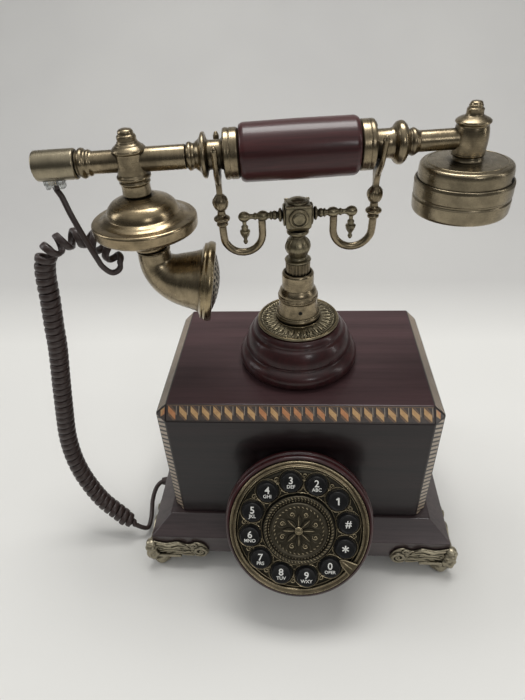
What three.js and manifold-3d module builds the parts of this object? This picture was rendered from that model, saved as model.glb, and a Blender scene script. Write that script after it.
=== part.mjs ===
// A french-style cradle telephone: a hardwood case on a bevelled plinth with four cast corner feet, a tilted push-button dial, a turned post with a forked cradle, and a turned brass handset with an ear cup and a horn mouthpiece.
// Millimetres, +Z up. The dial faces -Y. Heights named *_Z are above the surface the feet stand on.
import * as THREE from "three";
import { mergeVertices } from "three/addons/utils/BufferGeometryUtils.js";
import Module from "manifold-3d";

const wasm = await Module();
wasm.setup();

// Driving dimensions.
const GAP = 0.3; // clearance between neighbouring pieces
const CASE_W = 200, CASE_D = 127.2, CASE_H = 109.4, CHAMFER = 8.9, WALL = 8;
const PLINTH_Z = 45.6, BEVEL_Z = 34.4, PLINTH_FOOT_Z = 15.5;
const PLINTH_LEDGE = 2, PLINTH_FLARE = 16.6;
const CASE_TOP = PLINTH_Z + CASE_H;
const DIAL_R = 48.5, RIM_WALL = 4.1, RIM_DEPTH = 12.3, DIAL_TILT = 31, DIAL_Y = -101.8, DIAL_Z = 82.2, DIAL_X = 0.7;
const BUTTON_R = 6.9, BUTTON_LIP = 0.55, BUTTON_RING_R = 34.2, BUTTON_START = 9;
const ROSETTE_R = 43.5, ROSETTE_H = 33.5, DISC_R = 29.1, SLEEVE_R = 10.9, SLEEVE_WALL = 2, SLEEVE_H = 73, SPINDLE_R = 4;
const ARM_H = 113.2, BALL_X = 22.8, HOOK_R = 12.6, TUBE_R = 2.45, FORK_THICK = 3.6;
const YAW = 5.4, HANDSET_H = 152.7, HANDSET_TILT = 0.57, GRIP_R = 16.7, GRIP_HALF = 35, NECK_R = 8.3;
const EAR_X = 100.8, EAR_R = 29.5, EAR_DROP = 44, CLAMP_X = -98.9, BELL_R = 32.9, BELL_DROP = 35.7, HORN_RIM_R = 27;
const CAP_R = 8.8, CAP_LEFT = -155.3;
// What follows from them.
const RIM_R = DIAL_R + RIM_WALL, BORE_R = SLEEVE_R - SLEEVE_WALL, NECK_X = BALL_X + 2 * HOOK_R;
const COIL_R = 7, LEAD_R = 1.9;
const rad = (d) => (d * Math.PI) / 180;

// Materials.
const mat = (color, roughness, metalness, extra = {}) => new THREE.MeshStandardMaterial({ color, roughness, metalness, ...extra });
const darkWood = mat(0x2b1a1c, 0.32, 0), redWood = mat(0x4a1f22, 0.25, 0), bronze = mat(0x8a7448, 0.38, 1), castBronze = mat(0x6f6145, 0.5, 1);
const inlayFront = mat(0xb0753a, 0.45, 0), inlaySide = mat(0x8a7a66, 0.5, 0), blackPlastic = mat(0x141414, 0.4, 0), darkPlate = mat(0x4d4632, 0.45, 1);
const board = mat(0x2c5a34, 0.6, 0), steel = mat(0x8f9296, 0.35, 1), cordBrown = mat(0x3a2c2a, 0.5, 0), clear = mat(0xe6e8e6, 0.15, 0);
const fibre = mat(0x2a2422, 0.8, 0);

// A surface from rings of points, closed at both ends (or round on itself), with its faces outwards.
function rings(list, loop = false) {
  const n = Math.max(...list.map((r) => r.length)), pos = [], start = [], idx = [];
  for (const r of list) { start.push([pos.length / 3, r.length]); for (const p of r) pos.push(p[0], p[1], p[2]); }
  const at = (i, j) => start[i][0] + (start[i][1] === 1 ? 0 : j % n);
  const tri = (a, b, c) => { if (a !== b && b !== c && a !== c) idx.push(a, b, c); };
  const last = loop ? list.length : list.length - 1;
  for (let i = 0; i < last; i++) {
    const k = (i + 1) % list.length;
    for (let j = 0; j < n; j++) {
      tri(at(i, j), at(i, j + 1), at(k, j + 1));
      tri(at(i, j), at(k, j + 1), at(k, j));
    }
  }
  if (!loop) {
    const end = list.length - 1;
    for (let j = 1; j < n - 1; j++) {
      if (start[0][1] > 1) tri(at(0, 0), at(0, j + 1), at(0, j));
      if (start[end][1] > 1) tri(at(end, 0), at(end, j), at(end, j + 1));
    }
  }
  const g = new THREE.BufferGeometry();
  g.setAttribute("position", new THREE.Float32BufferAttribute(pos, 3));
  g.setIndex(idx);
  return g;
}
// A closed surface with its shared vertices merged and its collapsed faces left out.
function tidy(g) {
  const plain = new THREE.BufferGeometry();
  plain.setAttribute("position", g.getAttribute("position"));
  if (g.index) plain.setIndex(g.index);
  const m = mergeVertices(plain, 1e-3), src = m.index.array, tri = [];
  for (let i = 0; i < src.length; i += 3) if (src[i] !== src[i + 1] && src[i + 1] !== src[i + 2] && src[i] !== src[i + 2]) tri.push(src[i], src[i + 1], src[i + 2]);
  m.setIndex(tri);
  return m;
}
// A turned piece about Z: profile as [radius, height] from the bottom up; loop joins the last point to the first, for a ring.
function turned(profile, seg, loop = false) {
  const closed = loop ? [...profile, profile[0]] : [[0, profile[0][1]], ...profile, [0, profile[profile.length - 1][1]]];
  const points = closed.filter(([r, z], i) => i === 0 || r !== closed[i - 1][0] || z !== closed[i - 1][1]).map(([r, z]) => new THREE.Vector2(r, z));
  return tidy(new THREE.LatheGeometry(points, seg).rotateX(Math.PI / 2));
}
// A round bar of one radius along a smooth curve through points.
function bar(points, radius, sides, steps = 2 * (points.length - 1)) {
  const section = new THREE.Shape(Array.from({ length: sides }, (_, j) => new THREE.Vector2(radius * Math.cos((2 * Math.PI * j) / sides), radius * Math.sin((2 * Math.PI * j) / sides))));
  const extrudePath = new THREE.CatmullRomCurve3(points.map((p) => new THREE.Vector3(...p)));
  return outward(tidy(new THREE.ExtrudeGeometry(section, { extrudePath, steps, curveSegments: 1, bevelEnabled: false })));
}
// An outline in a plane, given a thickness along the third axis: "xz" lies upright facing -Y, "yz" faces X, "xy" lies flat.
function slab(outline, thick, plane = "xy", holes = []) {
  const s = new THREE.Shape(outline.map((p) => new THREE.Vector2(p[0], p[1])));
  for (const h of holes) s.holes.push(new THREE.Path(h.map((p) => new THREE.Vector2(p[0], p[1]))));
  const g = new THREE.ExtrudeGeometry(s, { depth: thick, bevelEnabled: false, curveSegments: 1 });
  if (plane === "xz") g.rotateX(Math.PI / 2);
  if (plane === "yz") { g.rotateX(Math.PI / 2); g.rotateZ(Math.PI / 2); }
  return g;
}
const box = (w, d, h, x = 0, y = 0, z = 0) => new THREE.BoxGeometry(w, d, h).translate(x, y, z);
const move = (g, x, y, z) => g.clone().translate(x, y, z);
const spin = (g, x, y, z) => { const c = g.clone(); if (x) c.rotateX(x); if (y) c.rotateY(y); if (z) c.rotateZ(z); return c; };
const rodY = (r, y0, y1, x, z, seg) => turned([[r, y0], [r, y1]], seg).rotateX(-Math.PI / 2).translate(x, 0, z);
const rodX = (r, x0, x1, y, z, seg) => turned([[r, x0], [r, x1]], seg).rotateY(Math.PI / 2).translate(0, y, z);
const arc = (cx, cy, r, a0, a1, n) => Array.from({ length: n + 1 }, (_, i) => { const a = rad(a0 + ((a1 - a0) * i) / n); return [cx + r * Math.cos(a), cy + r * Math.sin(a)]; });

function body(g) {
  const m = tidy(g);
  return new wasm.Manifold(new wasm.Mesh({ numProp: 3, vertProperties: Float32Array.from(m.attributes.position.array), triVerts: Uint32Array.from(m.index.array) }));
}
function geometry(m) {
  const out = m.getMesh(), g = new THREE.BufferGeometry(), v = new Float32Array(out.numVert * 3);
  for (let i = 0; i < out.numVert; i++) v.set(out.vertProperties.subarray(i * out.numProp, i * out.numProp + 3), 3 * i);
  g.setAttribute("position", new THREE.BufferAttribute(v, 3));
  g.setIndex(new THREE.BufferAttribute(Uint32Array.from(out.triVerts), 1));
  return g;
}
const join = (...gs) => geometry(gs.map(body).reduce((a, b) => a.add(b)));
const cut = (g, ...tools) => geometry(tools.map(body).reduce((a, b) => a.subtract(b), body(g)));

const phone = new THREE.Group();
const base = new THREE.Group(), dial = new THREE.Group(), cradle = new THREE.Group(), handset = new THREE.Group();
function put(group, name, g, material) {
  const m = new THREE.Mesh(g, material);
  m.name = name;
  m.geometry.computeVertexNormals();
  group.add(m);
  return m;
}

// ---- case ----
const hw = CASE_W / 2, hd = CASE_D / 2, c = CHAMFER;
// The case's outline at its sides: the two front corners are bevelled, the back ones square.
const outline = (w, d, k) => [[-w, d], [-w, -d + k], [-w + k, -d], [w - k, -d], [w, -d + k], [w, d]];
const flat = (pts, z) => pts.map(([x, y]) => [x, y, z]);
const caseOuter = rings([
  flat(outline(hw, hd, c), PLINTH_Z + GAP),
  flat(outline(hw, hd, c), CASE_TOP - c),
  flat([[-hw + c, hd], [-hw + c, -hd + c], [-hw + c, -hd + c], [hw - c, -hd + c], [hw - c, -hd + c], [hw - c, hd]], CASE_TOP),
]);
const caseShell = cut(caseOuter,
  box(CASE_W - 2 * WALL - 4, CASE_D - 2 * WALL - 4, CASE_H - WALL, 0, 1, PLINTH_Z + (CASE_H - WALL) / 2 - 1),
  turned([[SPINDLE_R + 1, CASE_TOP - 20], [SPINDLE_R + 1, CASE_TOP + 5]], 20),
  rodY(9, -hd - 5, -hd + 20, DIAL_X, 84, 20),
);
// The marquetry strips lie in shallow rebates along the bevels.
const INLAY = 1.6, NORM = Math.SQRT1_2;
function strip(a, b, normal, across, width, thick) { // a flat bar from a to b, standing in from the bevel's face
  const n = new THREE.Vector3(...normal), k = new THREE.Vector3(...across), A = new THREE.Vector3(...a), B = new THREE.Vector3(...b);
  const pt = (p, s, t) => p.clone().addScaledVector(k, s * width / 2).addScaledVector(n, t).toArray();
  return rings([[pt(A, -1, -thick), pt(A, 1, -thick), pt(A, 1, 0), pt(A, -1, 0)], [pt(B, -1, -thick), pt(B, 1, -thick), pt(B, 1, 0), pt(B, -1, 0)]]);
}
const outward = (g) => (body(g).volume() < 0 ? (() => { const i = g.index.array; for (let k = 0; k < i.length; k += 3) [i[k], i[k + 1]] = [i[k + 1], i[k]]; return g; })() : g);
const mid = c / 2, stripW = c * Math.SQRT2 - 1.6;
const inlays = {
  inlay_front: [[-hw + c + 2, -hd + mid, CASE_TOP - mid], [hw - c - 2, -hd + mid, CASE_TOP - mid], [0, -NORM, NORM], [0, NORM, NORM]],
  inlay_top_left: [[-hw + mid, -hd + c + 2, CASE_TOP - mid], [-hw + mid, hd - 1, CASE_TOP - mid], [-NORM, 0, NORM], [NORM, 0, NORM]],
  inlay_top_right: [[hw - mid, -hd + c + 2, CASE_TOP - mid], [hw - mid, hd - 1, CASE_TOP - mid], [NORM, 0, NORM], [NORM, 0, -NORM]],
  inlay_corner_left: [[-hw + mid, -hd + mid, PLINTH_Z + 2], [-hw + mid, -hd + mid, CASE_TOP - c - 2], [-NORM, -NORM, 0], [NORM, -NORM, 0]],
  inlay_corner_right: [[hw - mid, -hd + mid, PLINTH_Z + 2], [hw - mid, -hd + mid, CASE_TOP - c - 2], [NORM, -NORM, 0], [NORM, NORM, 0]],
};
let rebated = body(caseShell);
for (const [a, b, n, k] of Object.values(inlays)) {
  const A = new THREE.Vector3(...a), B = new THREE.Vector3(...b), dir = B.clone().sub(A).normalize();
  const out = new THREE.Vector3(...n);
  rebated = rebated.subtract(body(outward(strip(A.clone().addScaledVector(dir, -GAP).addScaledVector(out, 1).toArray(), B.clone().addScaledVector(dir, GAP).addScaledVector(out, 1).toArray(), n, k, stripW + 2 * GAP, INLAY + GAP + 1))));
}
put(base, "case_shell", geometry(rebated), darkWood);
for (const [name, [a, b, n, k]] of Object.entries(inlays)) put(base, name, outward(strip(a, b, n, k, stripW, INLAY)), name === "inlay_front" ? inlayFront : inlaySide);

// ---- plinth: a bevelled frame, open in the middle, closed below by the base plate ----
const pw = hw + PLINTH_LEDGE, pd = hd + PLINTH_LEDGE, fw = hw + PLINTH_FLARE, fd = hd + PLINTH_FLARE;
const rect = (w, d) => [[-w, d], [-w, -d], [w, -d], [w, d]];
const plinthSolid = rings([flat(rect(fw, fd), PLINTH_FOOT_Z), flat(rect(fw, fd), BEVEL_Z), flat(rect(pw, pd), PLINTH_Z)]);
const JACK_Y = -18, JACK_Z = 25, LINE_X = 30;
put(base, "plinth", cut(plinthSolid,
  box(2 * fw - 28, 2 * fd - 28, 40, 0, 0, PLINTH_FOOT_Z),
  box(30, 12.6, 11.6, -fw + 10, JACK_Y, JACK_Z),
  box(14.6, 30, 11.6, LINE_X, fd - 10, JACK_Z),
  box(2 * pw - 30, 2 * pd - 30, 40, 0, 0, PLINTH_Z)), darkWood);
const plateW = 2 * fw - 28 - 2 * GAP, plateD = 2 * fd - 28 - 2 * GAP;
put(base, "base_plate", cut(box(plateW, plateD, 3, 0, 0, PLINTH_FOOT_Z + 1.8),
  ...[-1, 1].flatMap((x) => [-1, 1].map((y) => turned([[2, 0], [2, 40]], 12).translate(x * (plateW / 2 - 17), y * (plateD / 2 - 16), 0)))), fibre);
// The telephone's circuit board with its sounder, the two sockets and the hook switch.
const BOARD_Z = PLINTH_FOOT_Z + 12;
// The line socket stands on the board's rear tongue.
put(base, "main_board", cut(join(box(110, 70, 1.6, 0, 0, BOARD_Z), box(12, fd - 40, 1.6, LINE_X, (fd - 40) / 2 + 27, BOARD_Z), box(14, 15, 11, LINE_X, fd - 8.2, JACK_Z), box(30, 18, 12, -25, 10, BOARD_Z + 6), ...[-45, 45].flatMap((x) => [-25, 25].map((y) => box(6, 6, 8.2, x, y, BOARD_Z - 4.3))),
  turned([[14, BOARD_Z], [14, BOARD_Z + 9], [6, BOARD_Z + 11]], 20).translate(20, 0, 0)), box(10.4, 12, 7.2, LINE_X, fd - 5.5, JACK_Z)), board);
put(base, "handset_socket", cut(box(15, 12, 11, -fw + 8.2, JACK_Y, JACK_Z), box(12, 8.4, 7.2, -fw + 5.5, JACK_Y, JACK_Z)), blackPlastic);
const ROD_END = CASE_TOP - 42;
put(base, "hook_switch", join(box(34, 16, 3, 12, 0, ROD_END - 14), box(22, 14, 9, 14, 0, ROD_END - 8.5), box(22, 8, 1.2, 6, 0, ROD_END - 2.4), box(3, 8, 4, 16, 0, ROD_END - 3.6),
  box(3, 16, 46, 28, 0, ROD_END + 8), box(10, 16, 3, 32, 0, CASE_TOP - WALL - 3)), blackPlastic);

// ---- cast corner feet: a block under the corner, a ball below it, and two scrolled wings on the plinth's faces ----
const WING = 3.8, wingTop = PLINTH_FOOT_Z + 13, wingLow = 11.5;
function wing(sx, len) { // outline in (along, height), from the corner (0) to the scroll at len
  const p = [[-2, wingLow + 0.5], [6, wingLow - 0.5], [14, wingLow + 2.2], [len - 13, wingLow + 1]];
  const low = arc(len - 7, wingLow + 7, 6.8, 235, 395, 7);
  const up = [[len - 3.5, wingTop + 0.4], [len - 8, wingTop + 1.6], [len - 15, wingTop - 1.4], [len - 22, wingTop + 0.8], [8, wingTop - 0.6], [-2, wingTop + 1.2]];
  return [...p, ...low, ...up].map(([a, b]) => [sx * a, b]);
}
function foot(sx, sy) {
  const X = sx * fw, Y = sy * fd, o = GAP;
  const order = (pts, flip) => (flip ? pts.slice().reverse() : pts);
  const front = slab(order(wing(-sx, 45), sx > 0), WING, "xz").translate(X, sy < 0 ? Y - o : Y + o + WING, 0);
  const side = slab(order(wing(-sy, 45), sy > 0), WING, "yz").translate(sx < 0 ? X - o - WING : X + o, Y, 0);
  const corner = turned([[3.6, wingLow - 3], [6.2, wingLow + 2], [6.4, wingLow + 6], [5, wingTop - 4], [6.2, wingTop - 1], [4.6, wingTop + 2.2], [0, wingTop + 3]], 12).translate(X + sx * 1.2, Y + sy * 1.2, 0);
  const ball = turned([[5.2, 0], [6.9, 1.6], [7.6, 5], [6.6, 8.6], [4.4, 11], [4.4, PLINTH_FOOT_Z - 2]], 14).translate(X - sx * 3.5, Y - sy * 3.5, 0);
  const shelf = box(26, 26, 3.2, X - sx * (13 - WING - o), Y - sy * (13 - WING - o), PLINTH_FOOT_Z - o - 1.6);
  return cut(join(front, side, corner, ball, shelf), rings([flat(rect(fw + o, fd + o), PLINTH_FOOT_Z - o), flat(rect(fw + o, fd + o), 60)]));
}
for (const [name, sx, sy] of [["foot_front_left", -1, -1], ["foot_front_right", 1, -1], ["foot_back_left", -1, 1], ["foot_back_right", 1, 1]]) put(base, name, foot(sx, sy), castBronze);

// ---- dial, built facing +Z and then tilted back ----
const tilt = rad(DIAL_TILT);
const place = (g) => g.clone().rotateX(Math.PI / 2 - tilt).translate(DIAL_X, DIAL_Y, DIAL_Z);
const D = -RIM_DEPTH;
const plinthGrown = rings([flat(rect(fw + GAP, fd + GAP), PLINTH_FOOT_Z - 20), flat(rect(fw + GAP, fd + GAP), BEVEL_Z + GAP), flat(rect(pw + GAP, pd + GAP), PLINTH_Z + GAP), flat(rect(pw + GAP, hd + GAP), PLINTH_Z + GAP + 0.01), flat(rect(pw + GAP, hd + GAP), 200)]);
const housingSolid = cut(place(turned([[DIAL_R - 4.5, D - 62], [DIAL_R, D - GAP]], 40)), plinthGrown, box(300, 60, 60, 0, -130, -4), place(turned([[DIAL_R - 9.5, D - 70], [DIAL_R - 9.5, D + 5]], 32)));
put(base, "dial_housing", (() => { const parts = body(housingSolid).decompose().sort((a, b) => b.volume() - a.volume()); return geometry(parts[0]); })(), redWood);
put(dial, "dial_rim", turned([[RIM_R - 3, D], [RIM_R - 0.4, D + 0.5], [RIM_R, D + 2.6], [RIM_R - 0.8, D + 4.6], [RIM_R - 1.7, D + 5.2], [RIM_R - 1.2, D + 7], [RIM_R - 1.6, -2.6], [RIM_R - 2.8, -0.9], [DIAL_R + 0.4, -0.5], [DIAL_R + 0.4, -3], [DIAL_R - 4.6, -3], [DIAL_R - 4.6, D]], 36, true), redWood);
put(dial, "dial_bezel", turned([[DIAL_R - 4, -2.7], [DIAL_R, -2.7], [DIAL_R, -0.6], [DIAL_R - 1.1, 0.3], [DIAL_R - 2.4, 0.1], [DIAL_R - 3, 0.7], [DIAL_R - 4.4, 0.5], [DIAL_R - 4.9, -0.8], [DIAL_R - 4.9, -1.4], [DIAL_R - 4, -1.4]], 36, true), bronze);
// The medallion keeps clear of the button holes.
const MEDAL_R = BUTTON_RING_R - BUTTON_R - 2.7;
const holeAt = (i) => { const a = rad(BUTTON_START + 30 * i); return [BUTTON_RING_R * Math.cos(a), BUTTON_RING_R * Math.sin(a)]; };
const holes = Array.from({ length: 12 }, (_, i) => turned([[BUTTON_R + GAP, -20], [BUTTON_R + GAP, 20]], 12).translate(...holeAt(i), 0));
put(dial, "dial_plate", cut(turned([[DIAL_R - 5.3, -3.4], [DIAL_R - 5.3, -1.2], [DIAL_R - 7.5, -0.2], [0, 0.6]], 36), ...holes), darkPlate);
put(dial, "dial_medallion", turned([[MEDAL_R - 0.2, 0.95], [MEDAL_R, 2.2], [MEDAL_R - 1, 3.1], [MEDAL_R - 2.4, 3.2], [MEDAL_R - 3.2, 1.9], [MEDAL_R - 4.3, 1.9], [MEDAL_R - 4.6, 3.5], [MEDAL_R - 6, 4], [MEDAL_R - 6.8, 3.4], [0, 3.5]], 28).translate(0, 0, GAP), bronze);
const stopAcross = BUTTON_RING_R * Math.sin(rad(15)), STOP_FROM = BUTTON_RING_R * Math.cos(rad(15)) + Math.sqrt(Math.max(0, (BUTTON_R + 2) ** 2 - stopAcross ** 2));
const stopDir = rad(-36.5), wedge = [[STOP_FROM, 0.9], [STOP_FROM + 3, 2.4], [DIAL_R - 2, 4.9], [DIAL_R - 1.5, -4.9], [STOP_FROM + 3, -2.4], [STOP_FROM, -0.9]].map(([a, b]) => [a * Math.cos(stopDir) - b * Math.sin(stopDir), a * Math.sin(stopDir) + b * Math.cos(stopDir)]);
const insideHoles = Array.from({ length: 12 }, (_, i) => turned([[BUTTON_R + 1, -20], [BUTTON_R + 1, 20]], 12).translate(...holeAt(i), 0));
put(dial, "finger_stop", cut(slab(wedge.reverse(), 1.1).translate(0, 0, 1.1), ...insideHoles), bronze);
const buttons = ["hash", "1", "2", "3", "4", "5", "6", "7", "8", "9", "0", "star"];
buttons.forEach((label, i) => {
  const [x, y] = holeAt(i);
  put(dial, "button_" + label, turned([[BUTTON_R + BUTTON_LIP, -7.2], [BUTTON_R + BUTTON_LIP, -6], [BUTTON_R, -5.6], [BUTTON_R, 2.4], [BUTTON_R - 0.5, 3.3], [BUTTON_R - 1.3, 3.7]], 12).translate(x, y, 0), blackPlastic);
});
put(dial, "keypad_board", join(turned([[DIAL_R - 6, -11.6], [DIAL_R - 6, -10]], 32), ...Array.from({ length: 3 }, (_, i) => turned([[2, -10.5], [2, -3.7]], 8).translate(19 * Math.cos(2.1 * i + 0.5), 19 * Math.sin(2.1 * i + 0.5), 0))), board);
for (const m of dial.children) m.geometry = place(m.geometry);

// ---- post ----
const T = CASE_TOP;
put(base, "rosette_base", turned([[SPINDLE_R + 1, GAP], [ROSETTE_R - 3.5, GAP], [ROSETTE_R - 0.9, 2.2], [ROSETTE_R, 6], [ROSETTE_R - 0.9, 10], [ROSETTE_R - 4.1, 13.2], [ROSETTE_R - 5.5, 14], [ROSETTE_R - 5.6, 16], [ROSETTE_R - 4.9, 17.4], [ROSETTE_R - 5.9, 22], [ROSETTE_R - 9.5, 27], [ROSETTE_R - 11.1, ROSETTE_H - 5.3], [ROSETTE_R - 11.3, ROSETTE_H - 3.5], [ROSETTE_R - 12.5, ROSETTE_H - 1.5], [ROSETTE_R - 13.9, ROSETTE_H], [SPINDLE_R + 1, ROSETTE_H]], 30, true).translate(0, 0, T), redWood);
put(base, "rosette_disc", turned([[SPINDLE_R + 1, ROSETTE_H + GAP], [DISC_R - 0.6, ROSETTE_H + GAP], [DISC_R, ROSETTE_H + 1], [DISC_R - 0.4, ROSETTE_H + 2.1], [DISC_R - 1.7, ROSETTE_H + 2.3], [DISC_R - 2.8, ROSETTE_H + 1.3], [DISC_R - 6, ROSETTE_H + 2], [DISC_R - 12, ROSETTE_H + 3.4], [SPINDLE_R + 1, ROSETTE_H + 3.6]], 28, true).translate(0, 0, T), bronze);
const s0 = ROSETTE_H + 3.9;
put(base, "post_sleeve", turned([[SPINDLE_R + 1.2, s0], [SLEEVE_R + 4.2, s0], [SLEEVE_R + 4.5, s0 + 1.6], [SLEEVE_R + 3.9, s0 + 3.4], [SLEEVE_R + 3, s0 + 8], [SLEEVE_R + 2.4, SLEEVE_H - 20.4], [SLEEVE_R + 3, SLEEVE_H - 19.6], [SLEEVE_R + 3, SLEEVE_H - 17.8], [SLEEVE_R + 2.3, SLEEVE_H - 17], [SLEEVE_R + 1.3, SLEEVE_H - 14.5], [SLEEVE_R, SLEEVE_H - 11.5], [SLEEVE_R, SLEEVE_H - 1.4], [SLEEVE_R - 1.2, SLEEVE_H], [BORE_R, SLEEVE_H], [BORE_R, s0 + 14], [SPINDLE_R + 1.2, s0 + 14]], 20, true).translate(0, 0, T), bronze);

// ---- cradle: slides in the post, turned with the handset ----
const flutes = (z, r, n) => Array.from({ length: n }, (_, i) => { const a = (2 * Math.PI * i) / n; return [(r + (i % 2 ? -0.45 : 0)) * Math.cos(a), (r + (i % 2 ? -0.45 : 0)) * Math.sin(a), z]; });
put(cradle, "cradle_piston", join(
  turned([[SPINDLE_R, -42], [SPINDLE_R, SLEEVE_H - 7]], 16),
  rings([flutes(SLEEVE_H - 11, BORE_R - 0.6, 24), flutes(81, BORE_R - 0.6, 24)]),
  turned([[BORE_R - 1.5, 80.5], [BORE_R - 0.2, 81], [BORE_R - 0.2, 82.2], [6, 83.2], [5.4, 84.6], [6.4, 85.8], [7.5, 88.5], [7.9, 92], [7.2, 95], [5.4, 97.2], [4.3, 98.2], [4.9, 99.2], [6.7, 100.4], [7.2, 102], [7.2, 103.2]], 18)), castBronze);
const HEAD0 = 103.5 + GAP, HEAD1 = 121.2;
put(cradle, "cradle_head", join(
  rings([flat(rect(6, 6), HEAD0), flat(rect(8.1, 8.1), HEAD0 + 3), flat(rect(8.1, 8.1), HEAD1 - 1.6), flat(rect(7.2, 7.2), HEAD1)]),
  turned([[6.6, HEAD1 - 1], [6.6, HEAD1 + 0.8], [4.6, HEAD1 + 2.2], [0, HEAD1 + 2.9]], 20),
  rodY(5.4, -9.3, 9.3, 0, ARM_H, 16), rodY(3.6, -10.1, 10.1, 0, ARM_H, 12),
  rodX(6.2, -9.6, 9.6, 0, ARM_H, 16)), bronze);
const beads = [[2.6, 9.9], [4, 10.6], [4, 11.8], [2, 12.6], [2.9, 13.6], [3.2, 14.6], [2.4, 15.6], [2.9, 16.6], [1.8, 17.8], [1.8, 18.7], [3.2, 19.8], [4.1, 22.2], [3.2, 25], [1.8, 26], [2.3, 27], [1.7, 28.4], [1.7, 30], [3, 31.2], [3.9, 34], [3, 36.6], [0, 37.9]];
const pendant = [[0, -18.6], [1.2, -17.8], [1.5, -16.6], [1, -15.4], [1.7, -12.6], [3.4, -9.4], [2, -8.6], [2.2, -6.4], [1.3, -5], [1.6, -2]];
const armGeo = (side) => {
  const a = turned(beads, 10).rotateY(Math.PI / 2), p = turned(pendant, 8).translate(34, 0, 0);
  return cut(join(a, p).rotateZ(side < 0 ? Math.PI : 0).translate(0, 0, ARM_H), turned([[TUBE_R + GAP, ARM_H - 30], [TUBE_R + GAP, ARM_H + 0.6]], 16).translate(side * BALL_X, 0, 0));
};
put(cradle, "arm_left", armGeo(-1), castBronze);
put(cradle, "arm_right", armGeo(1), castBronze);
// The hook hangs from the arm's ball, runs round under the arm's tip, and carries the fork that holds the handset's neck.
const UZ = ARM_H - 11.6;
const uPath = [[BALL_X, 0, ARM_H], [BALL_X, 0, ARM_H - 4], [BALL_X, 0, ARM_H - 8], ...arc(BALL_X + HOOK_R, UZ, HOOK_R, 180, 360, 10).map(([x, z]) => [x, 0, z]), [NECK_X, 0, ARM_H - 6], [NECK_X, 0, ARM_H + 4], [NECK_X, 0, ARM_H + 17]];
// The fork's prongs rise on each side of the neck from the seat under it, each leaning out a little at its tip.
const seatAt = (side) => HANDSET_H + side * NECK_X * Math.sin(rad(HANDSET_TILT)) - NECK_R / Math.cos(Math.PI / 20) - GAP;
const forkGeo = (side) => {
  const z = seatAt(side), half = [[-2.1, ARM_H + 15], [-2.2, z - 12], [-5, z - 6.4], [-NECK_R - 2.4, z - 1.6], [-NECK_R - 6, z + 4.5], [-NECK_R - 8.2, z + 11], [-NECK_R - 10.2, z + 16.4], [-NECK_R - 9.2, z + 18], [-NECK_R - 7.4, z + 17.4], [-NECK_R - 5.2, z + 12.2], [-NECK_R - 2.6, z + 5.6], [-NECK_R + 1, z + 1.9], [-3.8, z + 0.2], [0, z]];
  return slab([...half, ...half.slice(0, -1).reverse().map(([y, h]) => [-y, h])], FORK_THICK, "yz").translate(NECK_X - FORK_THICK / 2, 0, 0);
};
const hookGeo = (side) => {
  const collars = turned([[2.3, -5.4], [3, -5.2], [3.6, -3.6], [3.4, -2.8], [4.9, -1], [4.9, 0.4], [3, 2], [2.7, 3.4], [2.6, 5], [4, 6.6], [4.8, 9.8], [4.2, 12.6], [2.6, 14.8], [2.2, 15.4]], 12).translate(NECK_X, 0, ARM_H);
  return join(bar(uPath, TUBE_R, 8, 24), collars, forkGeo(side)).rotateZ(side < 0 ? Math.PI : 0);
};
put(cradle, "hook_left", hookGeo(-1), bronze);
put(cradle, "hook_right", hookGeo(1), bronze);
cradle.position.set(0, 0, T);
cradle.rotation.z = rad(YAW);

// ---- handset, along X with its axis at the group's origin ----
const lie = (profile, seg, loop = false) => turned(profile, seg, loop).rotateY(Math.PI / 2); // a profile of [radius, x]
put(handset, "end_cap", cut(lie([[6.6, CAP_LEFT], [CAP_R - 0.7, CAP_LEFT + 0.7], [CAP_R, CAP_LEFT + 2.6], [CAP_R, -131.2], [7.6, -130.6]], 24), lie([[6.6, CAP_LEFT + 2.4], [6.6, -120]], 24), box(12.6, 8.4, 14, CAP_LEFT + 8.6, 0, -6)), bronze);
put(handset, "tube_left", lie([[5.2, -130.2], [7.4, -130.2], [7.4, -129], [8.2, -128], [8.2, -125.6], [7.3, -124.4], [7.4, -122.6], [6.5, -121.6], [6.5, -104], [7, -94], [7, -NECK_X - 18.4], [5.2, -NECK_X - 18.4]], 16, true), bronze);
put(handset, "mouth_clamp", cut(turned([[7.6, -20.2], [8.8, -19.6], [8.6, -13.6], [9.1, -12.8], [9.1, -11.8], [8.8, -11.2], [9.9, -10.2], [10, -8.6], [9.2, -7.4], [9.2, 4.2], [9.8, 5.2], [9.9, 6.6], [9, 7.6], [6.4, 10.2], [5.6, 11], [5.6, 13.8], [4.6, 14.6], [4.5, 16.2], [2.6, 17.4], [0, 17.9]], 18).translate(CLAMP_X, 0, 0),
  lie([[7, CLAMP_X - 16], [7.3, CLAMP_X], [7.3, CLAMP_X + 16]], 24)), bronze);
put(handset, "turning_left", lie([[6.2, -NECK_X - 18], [7.6, -NECK_X - 17], [8, -NECK_X - 15], [7.2, -NECK_X - 13.2], [8.4, -NECK_X - 11.4], [12.1, -NECK_X - 9], [12.9, -NECK_X - 7.2], [11.6, -NECK_X - 6.2], [NECK_R + 0.1, -NECK_X - 5.2], [NECK_R, -NECK_X - 3], [NECK_R, -NECK_X + 2.3], [9.6, -NECK_X + 3.2], [13.6, -NECK_X + 4.1], [14.4, -NECK_X + 4.9], [14.4, -GRIP_HALF - 1], [13.4, -GRIP_HALF - GAP]], 20), bronze);
put(handset, "grip", lie([[13.6, -GRIP_HALF], [GRIP_R - 1.1, -GRIP_HALF + 1], [GRIP_R, -GRIP_HALF + 4], [GRIP_R, GRIP_HALF - 4], [GRIP_R - 1.1, GRIP_HALF - 1], [13.6, GRIP_HALF]], 24), redWood);
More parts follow.
